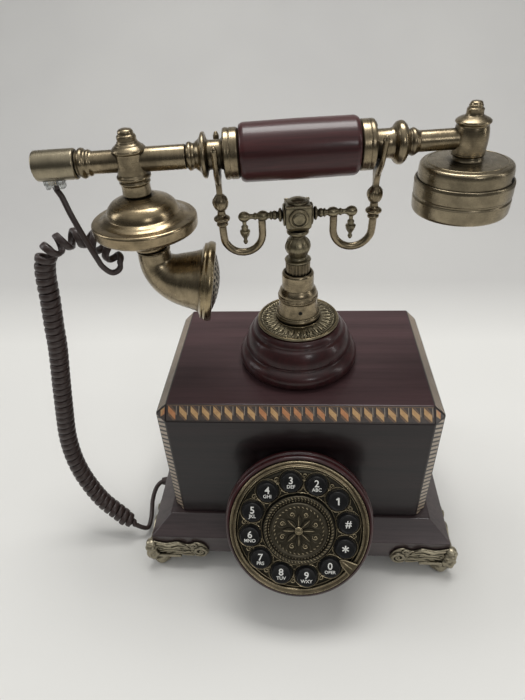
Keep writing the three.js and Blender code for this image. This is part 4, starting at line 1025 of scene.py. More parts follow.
for k in range(36):
    med.add(raised([(16.2, -0.7), (16.9, 0.1), (17.3, 1.2)], 3.15, [0.14, 0.42, 0.1], 0.9, 6, 3), 1, R(10 * k, "Z"))
med.add(lathe([(0, 3.1), (2.9, 3.1), (2.9, 3.5, 0.3), (2.3, 4.3), (1.5, 4.2), (0, 4.6)], 40, fillet=0.2), 1)
med.make("dial_medallion_ornament", F_DIAL, [medal_metal, brass_edge], "base", ["dial_medallion"], sharp=38,
    slot="antique_brass")

stop = Piece()
wedge = [(35.2, 0.7), (38.6, 2.5), (DR - 3.4, 4.6), (DR - 1.6, 5.0), (DR - 1.2, 3.9), (DR - 1.2, -3.9),
    (DR - 1.6, -5.0), (DR - 3.4, -4.6), (38.6, -2.5), (35.2, -0.7)]
stop.add(eased(prism(wedge, 1.2, 2.2), 0.25, 2, 30), 0, R(-36.5, "Z"))
for sgn in (-1, 1):
    stop.add(raised([(35.4, sgn * 0.6), (38.8, sgn * 2.3), (DR - 2.2, sgn * 4.5)], 2.2, [0.3, 0.42, 0.42], 0.8, 6, 3),
        1, R(-36.5, "Z"))
stop.add(raised([(37.0, 0), (41, 0), (DR - 3, 0)], 2.15, [0.12, 0.5, 0.3], 0.8, 6, 3), 1, R(-36.5, "Z"))
stop.make("dial_finger_stop", F_DIAL, [brass_dark, brass_edge], "base", ["finger_stop"], sharp=40,
    slot="antique_brass")

FIGURES = {"1": ("1", ""), "2": ("2", "ABC"), "3": ("3", "DEF"), "4": ("4", "GHI"), "5": ("5", "JKL"),
    "6": ("6", "MNO"), "7": ("7", "PRS"), "8": ("8", "TUV"), "9": ("9", "WXY"), "0": ("0", "OPER"), "star": ("*", ""),
    "hash": ("#", "")}
for i, label in enumerate(LABELS):
    a = rad(BSTART + 30 * i)
    at = T(BRING * math.cos(a), BRING * math.sin(a), 0)
    b = Piece()
    b.add(lathe([(0, -7.1), (BR + 0.5, -7.1), (BR + 0.5, -6.0), (BR, -5.6), (BR, 2.3), (BR - 0.25, 3.2, 0.3),
        (BR - 1.0, 3.65), (BR - 1.5, 3.5, -0.03), (0, 3.25)], 72, fillet=0.3), 0, at)
    figure, letters = FIGURES[label]
    if figure == "*":
        for k in range(3):
            b.add(moved(eased(block(5.0, 0.85, 0.16, 0, 0, 3.42), 0.04, 1), R(60 * k + 30, "Z")), 1, at)
    elif figure == "1":
        b.add(eased(block(1.05, 5.1, 0.16, 0.45, 0, 3.42), 0.04, 1), 1, at)
        b.add(moved(eased(block(2.1, 0.95, 0.16, 0, 0, 3.42), 0.04, 1), T(-0.3, 1.75, 0) @ R(38, "Z")), 1, at)
    else:
        b.add(moved(engraved_text(figure, 7.0), T(0, 0.2 if not letters else 1.45, 3.42)), 1, at, solid=False,
            flat=True)
        if letters:
            b.add(moved(engraved_text(letters, 3.1 if len(letters) > 3 else 3.4), T(0, -2.75, 3.46)), 1, at,
                solid=False, flat=True)
    b.make("key_" + label, F_DIAL, [black_key, ink], "button_" + label + "_body", ["button_" + label], sharp=36,
        slot="black_plastic")

# ---------------------------------------------------------------- post
ROS_R, ROS_H, DISC, SL_R, SL_H = 43.5, 33.5, 29.1, 10.9, 73.0
wood_base = lathe([(5, 0.2), (ROS_R - 3.6, 0.2, 0.56), (ROS_R - 4.0, 13.1), (ROS_R - 5.4, 13.9), (ROS_R - 5.8, 14.6),
    (ROS_R - 5.8, 15.8), (ROS_R - 4.9, 16.6, 0.14), (ROS_R - 9.2, 27.0), (ROS_R - 10.8, 27.9), (ROS_R - 11.4, 28.6),
    (ROS_R - 11.4, 29.8, 0.18), (ROS_R - 13.9, ROS_H), (5, ROS_H)], 160, closed=True, fillet=0.5, step=7)
Piece().add(wood_base, 0).make("post_wood_base", F_POST, [red_wood], "base", ["rosette_base"], sharp=40,
    slot="red_wood")
disc = Piece()
z0 = ROS_H + 0.3
disc.add(lathe([(5, z0), (DISC - 0.8, z0), (DISC - 0.2, z0 + 0.3, 0.42), (DISC - 0.3, z0 + 1.9, 0.3),
    (DISC - 1.8, z0 + 2.0), (DISC - 2.5, z0 + 1.2), (DISC - 3.1, z0 + 1.1), (DISC - 6, z0 + 1.7),
    (DISC - 12, z0 + 3.0), (5, z0 + 3.3)], 144, closed=True, fillet=0.2), 0)
disc.add(ring_bar(DISC - 1.1, 0.75, z0 + 1.75, 144, 0.7), 1)
for k in range(72):
    disc.add(raised([(DISC - 4.1, -0.55), (DISC - 3.4, 0.1), (DISC - 2.8, 0.75)], z0 + 1.35, [0.22, 0.48, 0.2], 0.8,
        6, 3), 0, R(5 * k, "Z"))
for k in range(32):
    at = R(11.25 * k, "Z")
    disc.add(sweep(spline([(16.3, 0.0, z0 + 3.0), (19.0, 0.5, z0 + 2.75), (22.4, 0.35, z0 + 2.2),
        (24.6, -0.4, z0 + 1.75)], 4), np.interp(np.linspace(0, 1, 13), [0, 0.35, 0.8, 1], [0.35, 1.05, 0.95, 0.25]),
        8, 0.55, first=(0, 0, 1)), 0, at)
    disc.add(sweep(spline([(20.4, 1.9, z0 + 2.4), (22.6, 2.15, z0 + 2.1), (24.7, 2.3, z0 + 1.7)], 4),
        np.interp(np.linspace(0, 1, 9), [0, 0.5, 1], [0.2, 0.6, 0.2]), 6, 0.7, first=(0, 0, 1)), 0, at)
disc.add(ring_bar(15.9, 0.55, z0 + 3.05, 120), 1)
disc.make("post_rosette", F_POST, [brass_cast, brass_bright], "base", ["rosette_disc"], sharp=36,
    slot="antique_brass")
s0 = ROS_H + 3.9


def sleeve_wave(a, rr, z):
    notch = (a * 14 / (2 * math.pi)) % 1
    if 53.0 < z < 55.6 and rr > 12:
        return -0.5 if notch < 0.22 else 0
    return 0


sleeve = Piece()
sleeve.add(lathe([(5.2, s0), (SL_R + 4.2, s0), (SL_R + 4.5, s0 + 1.0, 0.4), (SL_R + 4.2, s0 + 3.0),
    (SL_R + 3.7, s0 + 3.6), (SL_R + 3.6, s0 + 5.2, -0.06), (SL_R + 2.3, SL_H - 21), (SL_R + 2.5, SL_H - 20.4),
    (SL_R + 3.05, SL_H - 19.9), (SL_R + 3.05, SL_H - 18.9), (SL_R + 2.7, SL_H - 18.6), (SL_R + 3.05, SL_H - 18.3),
    (SL_R + 3.05, SL_H - 17.3), (SL_R + 2.4, SL_H - 16.8, 0.16), (SL_R + 0.9, SL_H - 12.6), (SL_R + 0.1, SL_H - 11.6),
    (SL_R, SL_H - 10.6), (SL_R, SL_H - 1.6), (SL_R - 0.5, SL_H - 0.5), (SL_R - 1.3, SL_H), (9.0, SL_H),
    (9.0, s0 + 14), (5.2, s0 + 14)], 112, closed=True, fillet=0.35, step=8, wave=sleeve_wave), 0)
sleeve.add(ring_bar(SL_R + 4.1, 0.5, s0 + 4.2, 112, 0.8), 1)
# the screw hole below is a near-black cup: painted shade
hole_at = R(-88, "Z") @ T(SL_R + 2.75, 0, s0 + 9.5) @ R(90, "Y")
sleeve.add(lathe([(0, -1.0), (1.25, -1.0), (1.25, 0.35), (0.8, 0.45), (0.7, 0.1), (0, 0.05)], 28, fillet=0.08), 2,
    hole_at)
sleeve.make("post_sleeve_turned", F_POST @ R(YAW, "Z"), [brass_z, brass_edge, painted_hole_shade], "base", ["post_sleeve"],
    sharp=40, slot="antique_brass")

# ---------------------------------------------------------------- cradle
NECK_R = 8.3  # the handset's neck, which the forks take
AH, BX, HR, TR = 113.2, 22.8, 12.6, 2.45
NX = BX + 2 * HR
piston = Piece()
piston.add(lathe([(0, -42), (4, -42), (4, SL_H - 6)], 32, fillet=0.4), 1)
piston.add(lathe([(0, SL_H - 11), (8.3, SL_H - 11), (8.3, 80.6), (7.5, 81.1), (0, 81.1)], 144, fillet=0.2,
    wave=lambda a, rr, z: (-0.42 if (a * 22 / (2 * math.pi)) % 1 < 0.45 else 0) if rr > 7.9 else 0), 0)
piston.add(lathe([(0, 80.6), (7.6, 80.6), (8.7, 81.3, 0.4), (8.5, 82.4), (6.2, 83.0), (5.6, 84.2), (5.9, 85.2, 0.1),
    (7.3, 87.8, 0.3), (7.5, 94.2, 0.1), (5.2, 97.4), (4.4, 98.3), (4.6, 99.0), (5.9, 99.8), (6.9, 100.6, 0.3),
    (7.1, 102.6), (6.8, 103.2), (0, 103.2)], 80, fillet=0.35), 2)
for k in range(10):
    piston.add(sweep(spline([(5.9, 0, 85.4), (7.25, 0, 88), (7.9, 0.3, 91), (7.4, 0.6, 94.4), (5.6, 0.6, 97)], 4),
        np.interp(np.linspace(0, 1, 17), [0, 0.5, 1], [0.25, 0.75, 0.2]), 7), 2, R(36 * k, "Z"))
piston.make("cradle_piston_fluted", F_CRADLE, [brass_dark, steel, brass_cast], "cradle", ["cradle_piston"], sharp=34,
    slot="cast_bronze")

H0, H1 = 103.8, 121.2
head = Piece()
head.add(eased(rings([[(-w, w, z), (-w, -w, z), (w, -w, z), (w, w, z)] for w,
    z in ((5.8, H0), (8.1, H0 + 3), (8.1, H1 - 1.6), (7.2, H1))]), 0.8, 3, 20), 0)
head.add(lathe([(0, H1 - 1), (6.8, H1 - 1), (6.8, H1 + 0.5, 0.3), (5.9, H1 + 1.2), (4.8, H1 + 1.3, 0.2),
    (3.2, H1 + 2.4), (1.6, H1 + 2.9), (0, H1 + 3.0)], 56, fillet=0.2), 0)
for side in (0, 180):
    at = T(0, 0, AH) @ R(side, "Z") @ R(90, "X")
    head.add(lathe([(0, 0), (6.1, 7.6), (6.3, 8.3), (5.9, 9.0, 0.2), (5.2, 9.3), (4.5, 9.0), (4.2, 9.1),
        (3.7, 9.7, 0.3), (2.4, 10.2), (1.2, 10.0), (0, 9.9)], 56, fillet=0.2), 0, at)
    head.add(ring_bar(5.0, 0.28, 9.25, 56), 1, at)
    at = T(0, 0, AH) @ R(side, "Z") @ ALONG_X
    head.add(lathe([(0, 6), (6.3, 7.6), (7.0, 8.2), (7.1, 8.9), (6.4, 9.4), (5.0, 9.6), (0, 9.7)], 56, fillet=0.25),
        0, at)
for sx in (-1, 1):
    for sy in (-1, 1):
        head.add(raised([(sx * 7.3, sy * 3), (sx * 7.6, sy * 7.6), (sx * 3, sy * 7.3)], H1 - 0.7, [0.2, 0.5, 0.2],
            0.8, 6, 4), 1)
head.make("cradle_head_block", F_CRADLE, [brass_cast, brass_edge], "cradle", ["cradle_head"], sharp=36,
    slot="antique_brass")

for side, label in ((-1, "left"), (1, "right")):
    turn = R(180 if side < 0 else 0, "Z")
    arm = Piece()
    arm.add(lathe([(0, 9.7), (2.5, 9.8), (4.1, 10.5, 0.35), (4.0, 11.9), (2.6, 12.4), (2.0, 12.8), (2.4, 13.4, 0.4),
        (2.4, 15.8), (2.1, 16.1), (2.8, 16.6, 0.4), (2.0, 17.7), (1.8, 18.6), (2.0, 19.0, 0.42), (2.0, 25.4),
        (1.8, 26.0), (2.3, 26.8, 0.3), (1.8, 27.9), (1.6, 28.6), (1.6, 30.0), (2.0, 30.9, 0.42), (2.2, 36.9),
        (1.0, 37.7), (0, 37.9)], 48, fillet=0.2, step=12), 0, T(0, 0, AH) @ ALONG_X)
    arm.add(lathe([(0, -18.6), (0.8, -18.4), (1.5, -17.0, 0.3), (1.0, -15.5), (1.2, -14.6), (2.2, -12.0, 0.15),
        (3.4, -9.6, 0.3), (2.4, -8.7), (2.0, -8.4), (2.2, -7.4, 0.3), (2.0, -6.1), (1.2, -5.2), (1.3, -4.4),
        (1.6, -2.4), (1.2, 0), (0, 0)], 36, fillet=0.2), 0, T(34, 0, AH))
    for k in range(6):
        arm.add(sweep(spline([(1.4, 0, -14.2), (2.3, 0.15, -11.8), (3.1, 0.3, -9.8)], 4),
            [0.15, 0.25, 0.4, 0.5, 0.5, 0.5, 0.45, 0.3, 0.15], 6), 0, T(34, 0, AH) @ R(60 * k, "Z"))
    arm.make("cradle_arm_" + label + "_beaded", F_CRADLE @ turn, [brass_cast], "cradle", ["arm_" + label], sharp=36,
        slot="cast_bronze")

    hook = Piece()
    UZ = AH - 11.6
    path = [(BX, 0, AH - 2.4), (BX, 0, AH - 5), (BX, 0, AH - 8)] + [(BX + HR + HR * math.cos(rad(t)), 0,
        UZ + HR * math.sin(rad(t))) for t in range(184, 360, 16)] + [(NX, 0, AH - 8), (NX, 0, AH - 3),
        (NX, 0, AH + 3)]
    hook.add(sweep(spline(path, 5), TR, 20, round_ends=False), 0)
    hook.add(lathe([(0, -5.6), (2.5, -5.5), (3.5, -4.6, 0.4), (3.3, -3.0), (3.0, -2.6), (4.1, -1.8), (4.9, -1.2, 0.3),
        (4.9, 0.6), (4.0, 1.2), (2.9, 1.9), (2.6, 2.8), (2.5, 4.6), (2.9, 5.4), (3.9, 6.4), (4.5, 8.0, 0.16),
        (4.4, 12.2), (3.6, 13.6), (2.6, 14.8), (2.2, 15.4), (0, 15.4)], 56, fillet=0.25), 0, T(NX, 0, AH))
    for k in range(9):
        hook.add(sweep(spline([(3.4, 0, 6.0), (4.55, 0.3, 9.0), (4.3, 0.6, 12.2), (3.0, 0.7, 14.4)], 4),
            np.interp(np.linspace(0, 1, 13), [0, 0.5, 1], [0.15, 0.5, 0.15]), 6), 0, T(NX, 0, AH) @ R(40 * k, "Z"))
    nr = NECK_R
    z = HAND_H + side * NX * math.sin(rad(HAND_TILT)) - nr / math.cos(math.pi / 20) - 0.3
    web = [(-2.2, AH + 14.6), (-2.3, z - 13), (-5.2, z - 6.4), (-nr - 0.6, z - 1.4), (-nr + 0.9, z + 1.8),
        (-3.8, z + 0.1), (0, z - 0.1)]
    outl = web + [(-y, h) for y, h in web[:-1][::-1]]
    line = spline([(y, h, 0) for y, h in outl], 4, closed=True)
    fork = eased(prism([(q[0], q[1]) for q in line], -1.75, 1.75), 0.9, 4, 40)
    hook.add(([(v[2], v[0], v[1]) for v in fork[0]], fork[1]), 0, T(NX, 0, 0))
    for sgn in (-1, 1):
        prong = spline([(NX, sgn * 3.4, z - 6.4), (NX, sgn * (nr - 0.6), z - 1.6), (NX, sgn * (nr + 3.2), z + 3.6),
            (NX, sgn * (nr + 5.9), z + 9.4), (NX, sgn * (nr + 7.7), z + 14.2), (NX, sgn * (nr + 8.3), z + 16.2)], 5)
        hook.add(sweep(prong, np.interp(np.linspace(0, 1, len(prong)), [0, 0.2, 0.5, 0.8, 0.93, 1],
            [2.4, 2.5, 2.0, 2.3, 2.35, 1.8]), 20, 0.8, first=(1, 0, 0)), 0)
        rib = spline([(NX + 1.72, sgn * 1.0, z - 9), (NX + 1.78, sgn * 5.2, z - 3.4),
            (NX + 1.5, sgn * (nr + 2.0), z + 2.2), (NX + 1.55, sgn * (nr + 5.2), z + 8.2)], 4)
        hook.add(sweep(rib, np.interp(np.linspace(0, 1, len(rib)), [0, 0.5, 1], [0.2, 0.45, 0.2]), 6), 1)
    hook.make("cradle_hook_" + label + "_fork", F_CRADLE @ turn, [brass_z, brass_edge], "cradle", ["hook_" + label],
        sharp=40, slot="antique_brass")

# ---------------------------------------------------------------- handset
CAPR, CAPL = 8.8, CAP_LEFT
GR, GH, NR = 16.7, 35.0, NECK_R
EX, ER, ED, CLX, BELR, BD, HRR = 100.8, 29.5, 44.0, -98.9, 32.9, 35.7, 27.0


def along(profile, name, mats, node, seg=112, fillet=0.35, slot="antique_brass", step=8):
    """One turned piece of the handset, its profile running along the handset's own axis."""
    q = Piece()
    q.add(lathe(profile, seg, False, fillet, step), 0, ALONG_X)
    return q.make(name, F_HAND, mats, "handset", node, sharp=40, slot=slot)


cap = Piece()
cap.add(lathe([(6.0, CAPL + 2.4), (6.0, CAPL), (CAPR - 0.9, CAPL, 0.3), (CAPR - 0.1, CAPL + 1.3), (CAPR, CAPL + 2.8),
    (CAPR, -131.4), (CAPR - 0.5, -130.8), (7.7, -130.6), (6.6, -130.6), (6.6, -145)], 112, fillet=0.3), 0, ALONG_X)
cap.add(lathe([(0, CAPL + 2.2), (6.2, CAPL + 2.2), (6.2, CAPL + 0.5), (0, CAPL + 0.4)], 80, fillet=0.2), 0, ALONG_X)
cap.make("handset_end_cap", F_HAND, [brass_cap], "handset", ["end_cap"], sharp=40, slot="antique_brass")
along([(5.2, -130.2), (7.4, -130.2), (7.4, -129.2), (8.1, -128.4, 0.4), (8.1, -125.5), (7.5, -124.9), (7.3, -124.3),
    (7.45, -123.4, 0.3), (7.2, -122.2), (6.6, -121.5), (6.5, -120.6), (6.5, -106), (6.9, -96), (7.0, -92),
    (7.0, -NX - 18.4), (5.2, -NX - 18.4)], "handset_tube_left", [brass_z], ["tube_left"])
col = Piece()
col.add(lathe([(0, -20.4), (8.2, -20.4), (8.75, -19.6, 0.06), (8.5, -16), (8.6, -13.8), (9.1, -13.0, 0.35),
    (9.1, -11.6), (8.8, -11.1), (9.1, -10.7), (9.9, -10.2, 0.4), (9.9, -8.2), (9.3, -7.5), (9.2, -6.6), (9.2, 3.6),
    (9.3, 4.6), (9.9, 5.3, 0.35), (9.9, 6.9), (9.0, 7.8), (7.7, 8.7, 0.1), (6.3, 10.0), (6.1, 10.7), (5.7, 11.1),
    (5.6, 11.5, 0.05), (5.6, 13.7), (5.2, 14.3), (4.6, 14.7), (4.5, 16.0, 0.3), (2.7, 17.5), (1.4, 17.9), (0, 17.9)],
    112, fillet=0.25, step=9), 0, T(CLX, 0, 0))
col.make("mouth_column", F_HAND, [brass_z], "handset", ["mouth_clamp"], sharp=40, slot="antique_brass")
along([(6.0, -NX - 18.2), (6.6, -NX - 18.0), (7.7, -NX - 17, 0.35), (7.7, -NX - 14.8), (7.2, -NX - 14.0),
    (7.2, -NX - 13.0), (8.0, -NX - 12.2), (8.5, -NX - 11.4, -0.2), (11.6, -NX - 9.2), (12.6, -NX - 8.6, 0.4),
    (12.6, -NX - 6.6), (11.4, -NX - 6.1), (9.2, -NX - 5.6, -0.25), (NR + 0.05, -NX - 4.4), (NR, -NX - 2.6),
    (NR, -NX + 1.9), (NR + 0.3, -NX + 2.7, -0.2), (9.8, -NX + 3.3), (12.8, -NX + 3.8), (14.1, -NX + 4.3, 0.3),
    (14.4, -NX + 5.3), (14.4, -NX + 7.0), (14.0, -NX + 7.5), (14.4, -NX + 8.0), (14.4, -GH - 1.2), (13.5, -GH - 0.1)],
    "handset_turning_left", [brass_z], ["turning_left"])
along([(0, -GH), (13.4, -GH), (GR - 1.3, -GH + 0.6, 0.16), (GR - 0.1, -GH + 3.4, 0.008), (GR - 0.1, GH - 3.4, 0.16),
    (GR - 1.3, GH - 0.6), (13.4, GH), (0, GH)], "handset_grip", [grip_wood], ["grip"], fillet=0.5, slot="red_wood",
    step=3)
along([(13.5, GH + 0.1), (14.3, GH + 1.0), (14.3, NX - 7.9), (13.9, NX - 7.5), (14.3, NX - 7.1), (14.3, NX - 5.6),
    (14.0, NX - 4.6, 0.2), (12.8, NX - 4.1), (9.9, NX - 3.8), (NR + 0.3, NX - 3.3, -0.2), (NR, NX - 2.6),
    (NR, NX + 5.0), (NR + 0.3, NX + 6.2, -0.2), (9.4, NX + 7.3), (11.0, NX + 8.4, 0.32), (11.9, NX + 12.6),
    (10.8, NX + 13.9), (8.8, NX + 15.1), (7.2, NX + 16.2), (7.0, NX + 16.9), (7.5, NX + 17.6, 0.3), (7.4, NX + 20.0),
    (6.7, NX + 21.2), (6.1, NX + 22.0), (6.0, NX + 23), (6.0, NX + 26.2)], "handset_turning_right", [brass_z],
    ["turning_right"])
elbow = Piece()
elbow.add(lathe([(6.0, NX + 26.2), (6.0, EX - 2)], 80, fillet=0.1), 0, ALONG_X)
elbow.add(lathe([(0, -9.9), (8.6, -9.8), (9.5, -9.2, 0.3), (9.75, -7.8), (10.1, -2, 0.04), (10.0, 3.2), (9.6, 5.8),
    (9.15, 7.4), (9.2, 8.0), (9.8, 8.6, 0.42), (9.8, 10.3), (8.8, 11.0), (6.6, 12.0, -0.1), (5.1, 12.8),
    (4.9, 13.4, -0.08), (4.9, 16.0), (4.3, 16.6), (3.9, 16.9), (3.9, 17.4, 0.4), (3.6, 18.4), (3.4, 19.2, 0.25),
    (1.9, 20.1), (0, 20.2)], 96, fillet=0.25, step=9), 0, T(EX, 0, 0))
elbow.make("ear_elbow_turned", F_HAND, [brass_z], "handset", ["ear_elbow"], sharp=40, slot="antique_brass")
CUPX, CANR = EX + 0.5, ER - 1.6
can = Piece()
can.add(lathe([(0, -15.2), (CANR - 4, -15.2), (CANR - 2.4, -17), (CANR - 2.2, -25.8), (CANR, -25.8), (CANR, -23),
    (CANR - 0.15, -17.0), (CANR - 0.5, -15.2, 0.36), (CANR - 2.6, -13.2), (CANR - 4.4, -12.75), (21.5, -12.5),
    (11.5, -12.2), (9.6, -11.9, -0.2), (8.8, -10.2), (8.6, -9.7), (0, -9.7)], 144, fillet=0.4, step=7), 0,
    T(CUPX, 0, 0))
can.add(ring_bar(CANR - 4.6, 0.3, -12.75, 144), 1, T(CUPX, 0, 0))
# a near-black cup for the can's screw hole: painted shade
can.add(lathe([(0, -0.5), (1.5, -0.5), (1.5, 0.25), (1.1, 0.4), (1.0, 0.05), (0, 0.0)], 28, fillet=0.08), 2,
    T(CUPX, 0, 0) @ R(-38, "Z") @ T(CANR, 0, -20.6) @ R(90, "Y"))
can.make("ear_cup_shell", F_HAND, [brass_ear, brass_edge, painted_hole_shade], "handset", ["ear_can"], sharp=40,
    slot="antique_brass")
ear = Piece()
ear.add(lathe([(0, -ED + 2.8), (15, -ED + 2.6), (22.5, -ED + 1.4), (24.4, -ED + 0.3), (25.2, -ED, 0.1),
    (ER - 1.3, -ED + 0.9, 0.2), (ER - 0.3, -ED + 2.8), (ER, -ED + 6), (ER, -34.0), (ER - 0.6, -33.5),
    (ER - 0.75, -32.7), (ER - 0.6, -31.9), (ER, -31.5), (ER, -24.4), (ER - 0.25, -23.3, 0.3), (ER - 0.9, -22.5),
    (CANR + 0.25, -22.5), (CANR + 0.25, -26.1), (CANR - 2.2, -26.1), (CANR - 2.2, -ED + 4.4), (0, -ED + 4.4)], 180,
    fillet=0.3, step=8,
              wave=lambda a, rr, z: 0.16 * math.cos(90 * a) if z > -24.6 and rr > ER - 1.0 else 0), 0, T(CUPX, 0, 0))
# the ear holes are near-black discs: painted shade
for n, rr, h in ((1, 0, 0), (6, 5.4, 0), (12, 10.6, 0), (18, 15.6, 0.1)):
    for k in range(n):
        a = 2 * math.pi * k / n
        ear.add(lathe([(0, -0.12), (1.25, -0.12), (1.45, 0.0), (1.25, 0.05), (0, 0.02)], 20, fillet=0), 1,
            T(CUPX + rr * math.cos(a), rr * math.sin(a), -ED + 2.66 - h * 0.2) @ R(180, "X"), flat=False)
ear.make("ear_cap_ring", F_HAND, [brass_ear, painted_hole_shade], "handset", ["ear_ring"], sharp=40, slot="antique_brass")
bell = Piece()
bell.add(lathe([(0, -BD - 20.0), (9.8, -BD - 20.0), (10.8, -BD - 19.2, 0.35), (10.7, -BD - 16.9),
    (10.9, -BD - 16.2, -0.1), (14.6, -BD - 13.9), (23, -BD - 10.8, 0.03), (30.4, -BD - 8.2),
    (BELR - 1.0, -BD - 7.2, 0.16), (BELR + 0.1, -BD - 5.4), (BELR + 0.2, -BD - 1.0, 0.34), (BELR - 1.0, -BD + 0.8),
    (BELR - 2.4, -BD + 1.0, 0.02), (BELR - 4.6, -BD + 1.2, -0.1), (25.2, -BD + 2.9), (23.6, -BD + 3.6),
    (22.8, -BD + 4.1, 0.26), (17.0, -BD + 11.9, -0.02), (13.4, -BD + 13.4), (9.3, -BD + 14.8), (0, -BD + 14.9)], 160,
    fillet=0.35, step=6), 0, T(CLX + 1.2, 0, 0))
bell.make("mouth_bell_turned", F_HAND, [brass_soft], "handset", ["mouth_bell"], sharp=42, slot="antique_brass")

HX, HZ, AIM = CLX + 3, -BD - 20.2, 10
bend = np.array([(0, 0, 0, 8.8), (0, -0.8, 0, 10.1), (0, -4.4, 0, 10.6), (0.2, -8.6, 8, 11.0), (1.6, -13.2, 27, 12.2),
    (5, -18.6, 50, 14.1), (10.4, -22.6, 68, 16.4), (16.8, -25, 78, 18.3), (22.6, -26, 80, 19.7),
    (27.8, -26.9, 80, 21.4)])
fine_bend = spline([tuple(q) for q in bend], 5)
horn_rings = []
for x, z, d, rr in fine_bend:
    a = rad(d)
    horn_rings.append([(HX + x + rr * math.cos(-2 * math.pi * j / 96) * math.cos(a),
        rr * math.sin(-2 * math.pi * j / 96), HZ + z + rr * math.cos(-2 * math.pi * j / 96) * math.sin(a)) for j in range(96)])
shape = rings(horn_rings)
horn_loc = [(math.cos(2 * math.pi * j / 96) * 15, math.sin(2 * math.pi * j / 96) * 15,
    i * 1.1) for i in range(len(horn_rings)) for j in range(96)]
horn_p = Piece()
horn_p.add(shape, 0, None, horn_loc)
horn_p.add(ring_bar(10.35, 0.55, HZ - 1.2, 96), 0, T(HX, 0, 0))
horn_p.make("mouth_horn_elbow", F_HAND, [brass_z], "mouth_horn", ["horn_elbow"], sharp=44, slot="antique_brass")
F_AIM = T(HX + 27.4, 0, HZ - 26.8) @ R(90 + AIM, "Y")
hr = Piece()
hr.add(lathe([(HRR - 7.6, 0.3), (HRR - 5.0, 0.3), (HRR - 3.9, 0.9, -0.2), (HRR - 1.9, 1.5), (HRR - 1.3, 2.1),
    (HRR - 1.2, 3.3), (HRR - 0.7, 3.9), (HRR - 0.1, 4.6, 0.2), (HRR - 0.1, 7.8, 0.34), (HRR - 1.4, 9.0),
    (HRR - 3.4, 9.1, 0.2), (HRR - 4.6, 8.3), (HRR - 5.1, 6.4), (HRR - 5.4, 6.0), (HRR - 7.6, 5.4)], 144, closed=True,
    fillet=0.3, step=8), 0)
hr.make("mouth_horn_rim", F_HAND @ F_AIM, [brass_bright], "mouth_horn", ["horn_rim"], sharp=40, slot="antique_brass")
G_ = HRR - 5.6
gr = Piece()


def grille_z(rr):
    return 13.2 - 4.9 * (rr / G_) ** 2


gr.add(lathe([(0, 6.6), (G_, 6.6), (G_ + 0.2, 8.2)] + [(q, grille_z(q)) for q in np.linspace(G_ - 0.6, 0.0, 12)], 120,
    fillet=0), 0)
gr.add(ring_bar(G_ - 0.4, 0.5, 8.4, 120), 0)
# the grille holes are near-black discs: painted shade
for k, n in ((0, 1), (1, 6), (2, 12), (3, 18), (4, 22), (5, 28)):
    q = k * 3.55
    for j in range(n):
        a = 2 * math.pi * (j + 0.5 * (k % 2)) / n
        slope = math.degrees(math.atan(2 * 4.9 * q / G_ ** 2))
        gr.add(lathe([(0, -0.1), (1.05, -0.1), (1.22, 0.05), (1.05, 0.07), (0, 0.05)], 18, fillet=0), 1,
            R(math.degrees(a), "Z") @ T(q, 0, grille_z(q)) @ R(slope, "Y"))
gr.make("mouth_horn_grille", F_HAND @ F_AIM, [brass_dark, painted_hole_shade], "mouth_horn", ["horn_grille"], sharp=40,
    slot="engraved_plate")

pt = Piece()
pt.add(eased(block(11.4, 7.2, 9.0, PLUG_X, 0, -6.4), 0.5), 0)
for x, w in ((PLUG_X - 4.2, 2.2), (PLUG_X - 0.8, 1.2), (PLUG_X + 4.2, 3.0)):
    pt.add(eased(rings([[(x + sx * w / 2, sy * 2.7, z) for sx,
        sy in ((-1, -1), (1, -1), (1, 1), (-1, 1))] for z in (-13.6, -10.2)]), 0.3), 0)
for k in range(4):
    pt.add(eased(block(0.5, 0.5, 5.0, PLUG_X - 2.4 + 1.3 * k, -2.6, -8.2), 0.1, 1), 1)
pt.add(eased(block(3.2, 3.6, 6.4, PLUG_X + 1.0, 0, -10.6), 0.6), 2)
pt.make("handset_plug_clear", F_HAND, [plug_clear, gold, cord_mat], "handset", ["plug_top"], sharp=40,
    slot="clear_plastic")

# ---------------------------------------------------------------- pieces kept from the frame
for node, mat in (("base_plate", fibre), ("main_board", green_board), ("keypad_board", green_board),
    ("handset_socket", black_part), ("hook_switch", black_part)):
    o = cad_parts[node]
    o.data.materials.clear()
    o.data.materials.append(mat)


# ---------------------------------------------------------------- stage
floor = Tree("paper")
at = floor.node("TexCoord").outputs["Object"]
depth = floor.node("SeparateXYZ", {0: at}).outputs["Y"]
blotch = floor.noise(floor.scaled(at, (1, 1, 1)), 2.2, 3, 0.5)
# the paper is painted greyer where it turns up into the back wall: painted shade, as the wall gets less of the
# overhead light
back = floor.map(floor.math("ADD", depth, floor.math("MULTIPLY", blotch, 0.04)), 0.27, 0.42)
tone = floor.mix(back, (0.77, 0.765, 0.74), (0.52, 0.515, 0.505))
floor.set(Base_Color=floor.mix(floor.map(blotch, 0.35, 0.7, 0.0, 0.35), tone, (0.66, 0.655, 0.63)), Roughness=0.7)
floor.t.links.new(floor.bump(floor.noise(at, 420, 3, 0.6), 0.06, 0.0002), floor.bsdf.inputs["Normal"])
prof = [(-3.0, 0.0), (0.30, 0.0)] + [(0.30 + 1.1 * math.sin(rad(t)), 1.1 - 1.1 * math.cos(rad(t))) for t in range(4,
    91, 4)] + [(1.4, 3.2)]
verts, faces = [], []
for i, (y, z) in enumerate(prof):
    verts += [(-4, y, z - 0.0002), (4, y, z - 0.0002)]
    if i:
        faces.append([2 * i - 2, 2 * i - 1, 2 * i + 1, 2 * i])
me = bpy.data.meshes.new("paper")
me.from_pydata(verts, [], faces)
me.polygons.foreach_set("use_smooth", [True] * len(faces))
me.materials.append(floor.mat)
paper = bpy.data.objects.new("paper", me)
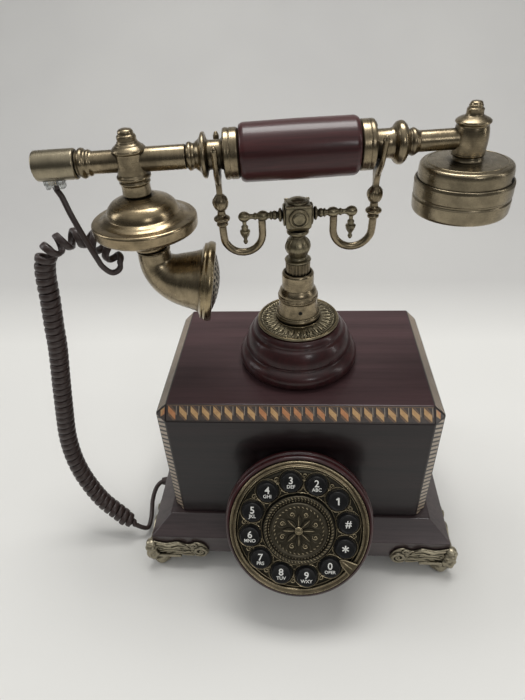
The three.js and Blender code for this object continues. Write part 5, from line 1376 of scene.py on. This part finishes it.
scene.collection.objects.link(paper)

world = bpy.data.worlds.new("room")
scene.world = world
world.use_nodes = True
wt = world.node_tree
bg = wt.nodes["Background"]
tc = wt.nodes.new("ShaderNodeTexCoord")
sep = wt.nodes.new("ShaderNodeSeparateXYZ")
ramp = wt.nodes.new("ShaderNodeValToRGB")
ramp.color_ramp.elements[0].position = 0.0
ramp.color_ramp.elements[0].color = (0.05, 0.05, 0.05, 1)
ramp.color_ramp.elements[1].position = 1.0
ramp.color_ramp.elements[1].color = (0.75, 0.75, 0.735, 1)
mid_stop = ramp.color_ramp.elements.new(0.5)
mid_stop.color = (0.04, 0.04, 0.039, 1)
hi_stop = ramp.color_ramp.elements.new(0.72)
hi_stop.color = (0.13, 0.13, 0.128, 1)
mr = wt.nodes.new("ShaderNodeMapRange")
mr.inputs["From Min"].default_value = -1
mr.inputs["From Max"].default_value = 1
wt.links.new(tc.outputs["Generated"], sep.inputs[0])
wt.links.new(sep.outputs["Z"], mr.inputs["Value"])
wt.links.new(mr.outputs[0], ramp.inputs[0])
wt.links.new(ramp.outputs[0], bg.inputs["Color"])
bg.inputs["Strength"].default_value = 1.0


def area(name, place, aim, size, watts, colour=(1, 1, 1), size_y=None):
    d = bpy.data.lights.new(name, "AREA")
    d.energy = watts
    d.color = colour
    d.size = size
    if size_y:
        d.shape = "RECTANGLE"
        d.size_y = size_y
    o = bpy.data.objects.new(name, d)
    scene.collection.objects.link(o)
    o.location = place
    o.rotation_euler = (Vector(aim) - Vector(place)).to_track_quat("-Z", "Y").to_euler()
    return o


area("overhead", (0.05, 0.35, 1.6), (0, 0.05, 0.1), 0.9, 15.5, (1, 0.99, 0.975), 0.6)
area("window_left", (-1.6, 0.1, 0.9), (0, 0, 0.2), 0.5, 4.5, (0.98, 0.99, 1), 0.9)
area("front_fill", (0.7, -1.5, 1.1), (0, 0, 0.15), 0.35, 3.0)
area("strip_right", (1.5, -0.2, 0.75), (0, 0, 0.2), 0.12, 2.4, (1, 0.985, 0.96), 1.1)
